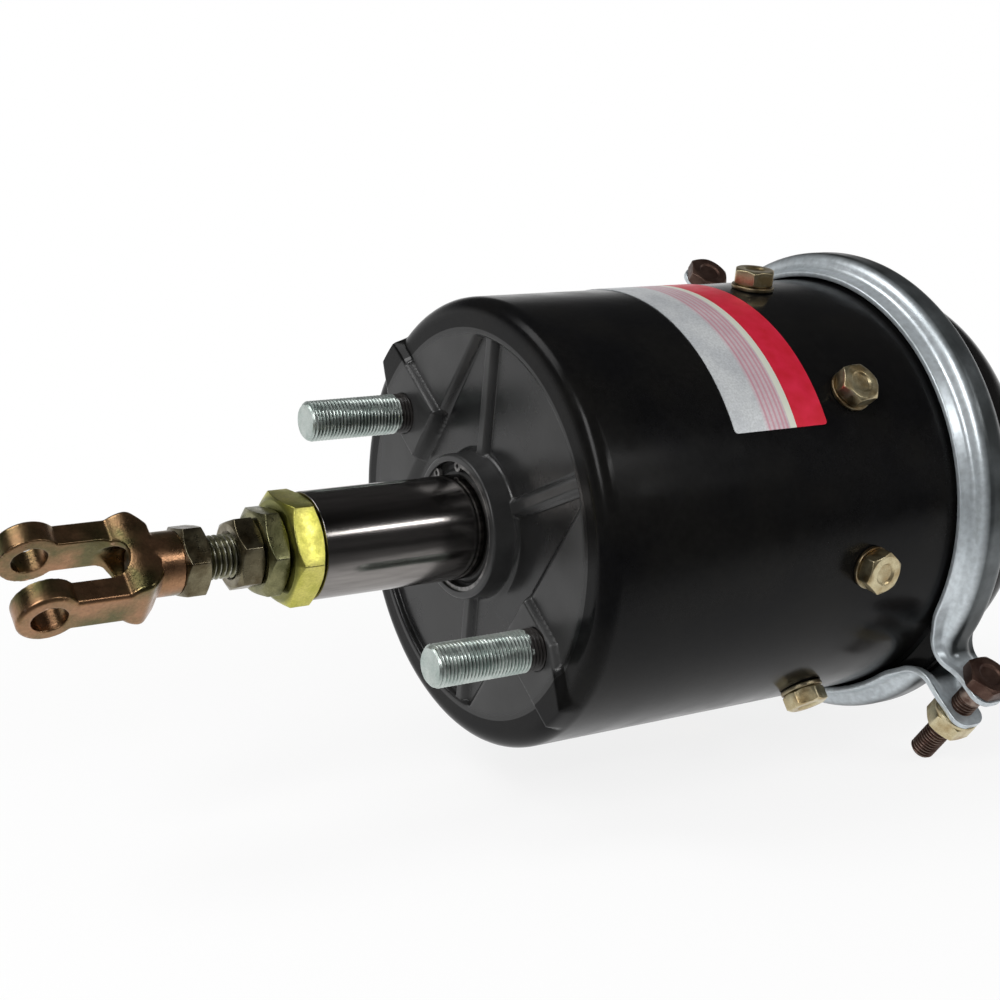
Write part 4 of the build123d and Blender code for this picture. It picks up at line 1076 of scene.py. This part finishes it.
piece("cover_shell", [cover_mesh()], "chamber", COVER_PAINT, ["rear_cover"])
piece("port_collars", [moved(ring(COVER_HIGH.x, BOSS_HIGH.x, PORT_BORE_R, PORT_BOSS_R),
                             port_place(angle)) for angle in PORT_ANGLES],
      "chamber", COVER_PAINT, ["port_bosses"])
piece("plug", plug_meshes(), "chamber", BOLT_ZINC, ["port_plug"])
piece("plug_seal", [moved(ring(PLUG_WASHER_LOW.x, PLUG_WASHER_HIGH.x, PORT_BORE_R, PLUG_WASHER_R),
                          port_place(PORT_ANGLES[1]))],
      "chamber", COPPER, ["plug_washer"])


# ---------------------------------------------------------------------------------------------
# Return spring


def spring_mesh():
    """Coil whose wire runs from the seat to the piston's crown."""
    start = SPRING_LOW.x + SPRING_WIRE_R
    length = SPRING_HIGH.x - SPRING_WIRE_R - start
    turns = np.linspace(0, 2 * pi * SPRING_TURNS, 560)
    round_wire = np.linspace(0, 2 * pi, 14, endpoint=False)
    slope = length / (2 * pi * SPRING_TURNS * SPRING_R)
    rows = []
    for turn in turns:
        out = np.array([0, sin(turn), cos(turn)])
        ahead = np.array([slope, cos(turn), -sin(turn)]) / sqrt(1 + slope * slope)
        across = np.cross(ahead, out)
        middle = SPRING_R * out + (start + length * turn / turns[-1], 0, 0)
        rows.append([middle + SPRING_WIRE_R * (cos(a) * out + sin(a) * across)
                     for a in round_wire])
    return grid_mesh(rows, caps=True)


coil = piece("coil", [spring_mesh()], "chamber", DARK_STEEL, ["return_spring"])
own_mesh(coil)


# ---------------------------------------------------------------------------------------------
# Materials of the pieces whose CAD shape shows as it is

CAD_MATERIALS = {
    "wiper_circlip": DARK_STEEL,
    "rod_wiper": RUBBER,
    "rod_bush": BRONZE,
    "guide_ring": CAST_ALUMINIUM,
    "spring_seat": PLATED_STEEL,
    "diaphragm": FABRIC_RUBBER,
    "tube_front_plug": PLATED_STEEL,
    "tube_rear_plug": PLATED_STEEL,
    "piston": CAST_ALUMINIUM,
    "piston_plate": PLATED_STEEL,
    "piston_bolt": BOLT_ZINC,
}
for node, finish in CAD_MATERIALS.items():
    for place in bpy.data.objects[node].material_slots:
        place.material = finish


# ---------------------------------------------------------------------------------------------
# Camera, light and floor

CAMERA_PLACE = Vector((-0.3534, -0.5686, 0.1317))
CAMERA_HEADING = 29.71
CAMERA_PITCH = -9.40
CAMERA_ROLL = -0.84
CAMERA_LENS = 64.04
CAMERA_SHIFT = (0.1013, -0.0277)
VIEWER_SIDE = (-0.495, -0.869, 0.0)
FLOOR_NEAR = 0.20
FLOOR_FAR = 0.60
FLOOR_NEAR_SHARE = 0.84
FLOOR_LIT_SIDE = 0.11
FLOOR_DARK_SIDE = 0.20
FLOOR_RINGS = (0.0001, 0.3, 0.6, 1.2, 2.5, 5.0)
FLOOR_GAP = 0.0002
TUBE_MIDDLE = (-0.045, 0.0, 0.0)


def camera():
    data = bpy.data.cameras.new("view")
    data.lens = CAMERA_LENS
    data.sensor_width = 36.0
    data.shift_x, data.shift_y = CAMERA_SHIFT
    data.clip_start = 0.01
    made = bpy.data.objects.new("view", data)
    turn = (Matrix.Rotation(radians(-CAMERA_HEADING), 4, "Z")
            @ Matrix.Rotation(radians(90 + CAMERA_PITCH), 4, "X")
            @ Matrix.Rotation(radians(CAMERA_ROLL), 4, "Z"))
    made.matrix_world = Matrix.Translation(CAMERA_PLACE) @ turn
    bpy.context.scene.collection.objects.link(made)
    bpy.context.scene.camera = made


def softbox(name, place, target, width, height, power, color=(1, 1, 1)):
    data = bpy.data.lights.new(name, "AREA")
    data.shape = "RECTANGLE"
    data.size, data.size_y = width, height
    data.energy = power
    data.color = color
    made = bpy.data.objects.new(name, data)
    way = Vector(target) - Vector(place)
    made.rotation_mode = "QUATERNION"
    made.rotation_quaternion = way.to_track_quat("-Z", "Y")
    made.location = place
    bpy.context.scene.collection.objects.link(made)


def seen_directly(tree):
    """1 for camera, glossy and transmission rays."""
    path = add(tree, "ShaderNodeLightPath", {})
    seen = sums(tree, "MAXIMUM", path.outputs["Is Camera Ray"], path.outputs["Is Glossy Ray"])
    return sums(tree, "MAXIMUM", seen, path.outputs["Is Transmission Ray"])


def white_to_camera(tree, reflected):
    """White where the camera looks, and another strength where a reflection does."""
    path = add(tree, "ShaderNodeLightPath", {})
    return sums(tree, "MAXIMUM", path.outputs["Is Camera Ray"], reflected)


def backdrop_world():
    """White studio whose reflections darken overhead and on the viewer's side."""
    world = bpy.data.worlds.new("studio")
    bpy.context.scene.world = world
    world.use_nodes = True
    tree = world.node_tree
    tree.nodes.clear()
    direction = add(tree, "ShaderNodeTexCoord", {}).outputs["Generated"]
    height = add(tree, "ShaderNodeSeparateXYZ", {"Vector": direction}).outputs["Z"]
    facing = add(tree, "ShaderNodeVectorMath", {0: direction, 1: VIEWER_SIDE},
                 operation="DOT_PRODUCT").outputs["Value"]
    behind = between(tree, facing, 0.35, -0.25, 0.07, 1.0)
    overhead = between(tree, height, 0.14, 0.42, 1.0, 0.06)
    shade = white_to_camera(tree, sums(tree, "MULTIPLY", behind, overhead))
    shown = add(tree, "ShaderNodeBackground", {"Color": rgb(1, 1, 1), "Strength": shade})
    fill = add(tree, "ShaderNodeBackground", {"Color": rgb(1, 1, 1), "Strength": 0.45})
    both = add(tree, "ShaderNodeMixShader", {
        0: seen_directly(tree), 1: fill.outputs[0], 2: shown.outputs[0]})
    add(tree, "ShaderNodeOutputWorld", {"Surface": both.outputs[0]})


def floor_material():
    material = bpy.data.materials.new("floor_white")
    material.use_nodes = True
    tree = material.node_tree
    shader = tree.nodes["Principled BSDF"]
    shader.inputs["Base Color"].default_value = rgb(0.86, 0.86, 0.86)
    shader.inputs["Roughness"].default_value = 0.9
    shader.inputs["Specular IOR Level"].default_value = 0.0
    place = add(tree, "ShaderNodeVectorMath", {0: coordinates(tree)}, operation="LENGTH")
    far = between(tree, place.outputs["Value"], FLOOR_NEAR, FLOOR_FAR, FLOOR_NEAR_SHARE, 1.0)
    factor = sums(tree, "MULTIPLY", far, seen_directly(tree))
    facing = add(tree, "ShaderNodeVectorMath", {0: coordinates(tree), 1: VIEWER_SIDE},
                 operation="DOT_PRODUCT").outputs["Value"]
    reflected = between(tree, facing, FLOOR_LIT_SIDE, FLOOR_DARK_SIDE, 1.0, 0.05)
    shade = white_to_camera(tree, reflected)
    white = add(tree, "ShaderNodeEmission", {"Color": rgb(1, 1, 1), "Strength": shade})
    both = add(tree, "ShaderNodeMixShader", {
        0: factor, 1: shader.outputs["BSDF"], 2: white.outputs[0]})
    tree.links.new(both.outputs[0], tree.nodes["Material Output"].inputs["Surface"])
    return material


def studio():
    low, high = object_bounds()
    middle = (low + high) / 2
    angle = np.linspace(0, 2 * pi, 96, endpoint=False)
    rows = [np.stack([r * np.cos(angle), r * np.sin(angle), 0 * angle], axis=-1)
            for r in FLOOR_RINGS]
    mesh = grid_mesh(rows)
    mesh.materials.append(floor_material())
    floor = bpy.data.objects.new("studio_floor", mesh)
    floor.location = (middle.x, middle.y, low.z - FLOOR_GAP)
    bpy.context.scene.collection.objects.link(floor)
    floor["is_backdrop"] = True
    softbox("key_box", (-1.1, -0.75, 0.85), middle, 0.35, 0.9, 12.0)
    softbox("top_box", (-0.75, 0.35, 1.25), middle, 0.7, 0.7, 8.0)
    softbox("strip_box", (0.75, -0.98, 0.68), middle, 0.10, 0.8, 0.6)
    softbox("tube_box", (0.44, -0.99, 0.60), TUBE_MIDDLE, 0.50, 0.07, 2.1)


camera()
backdrop_world()
studio()
bpy.context.scene.view_settings.view_transform = "Standard"
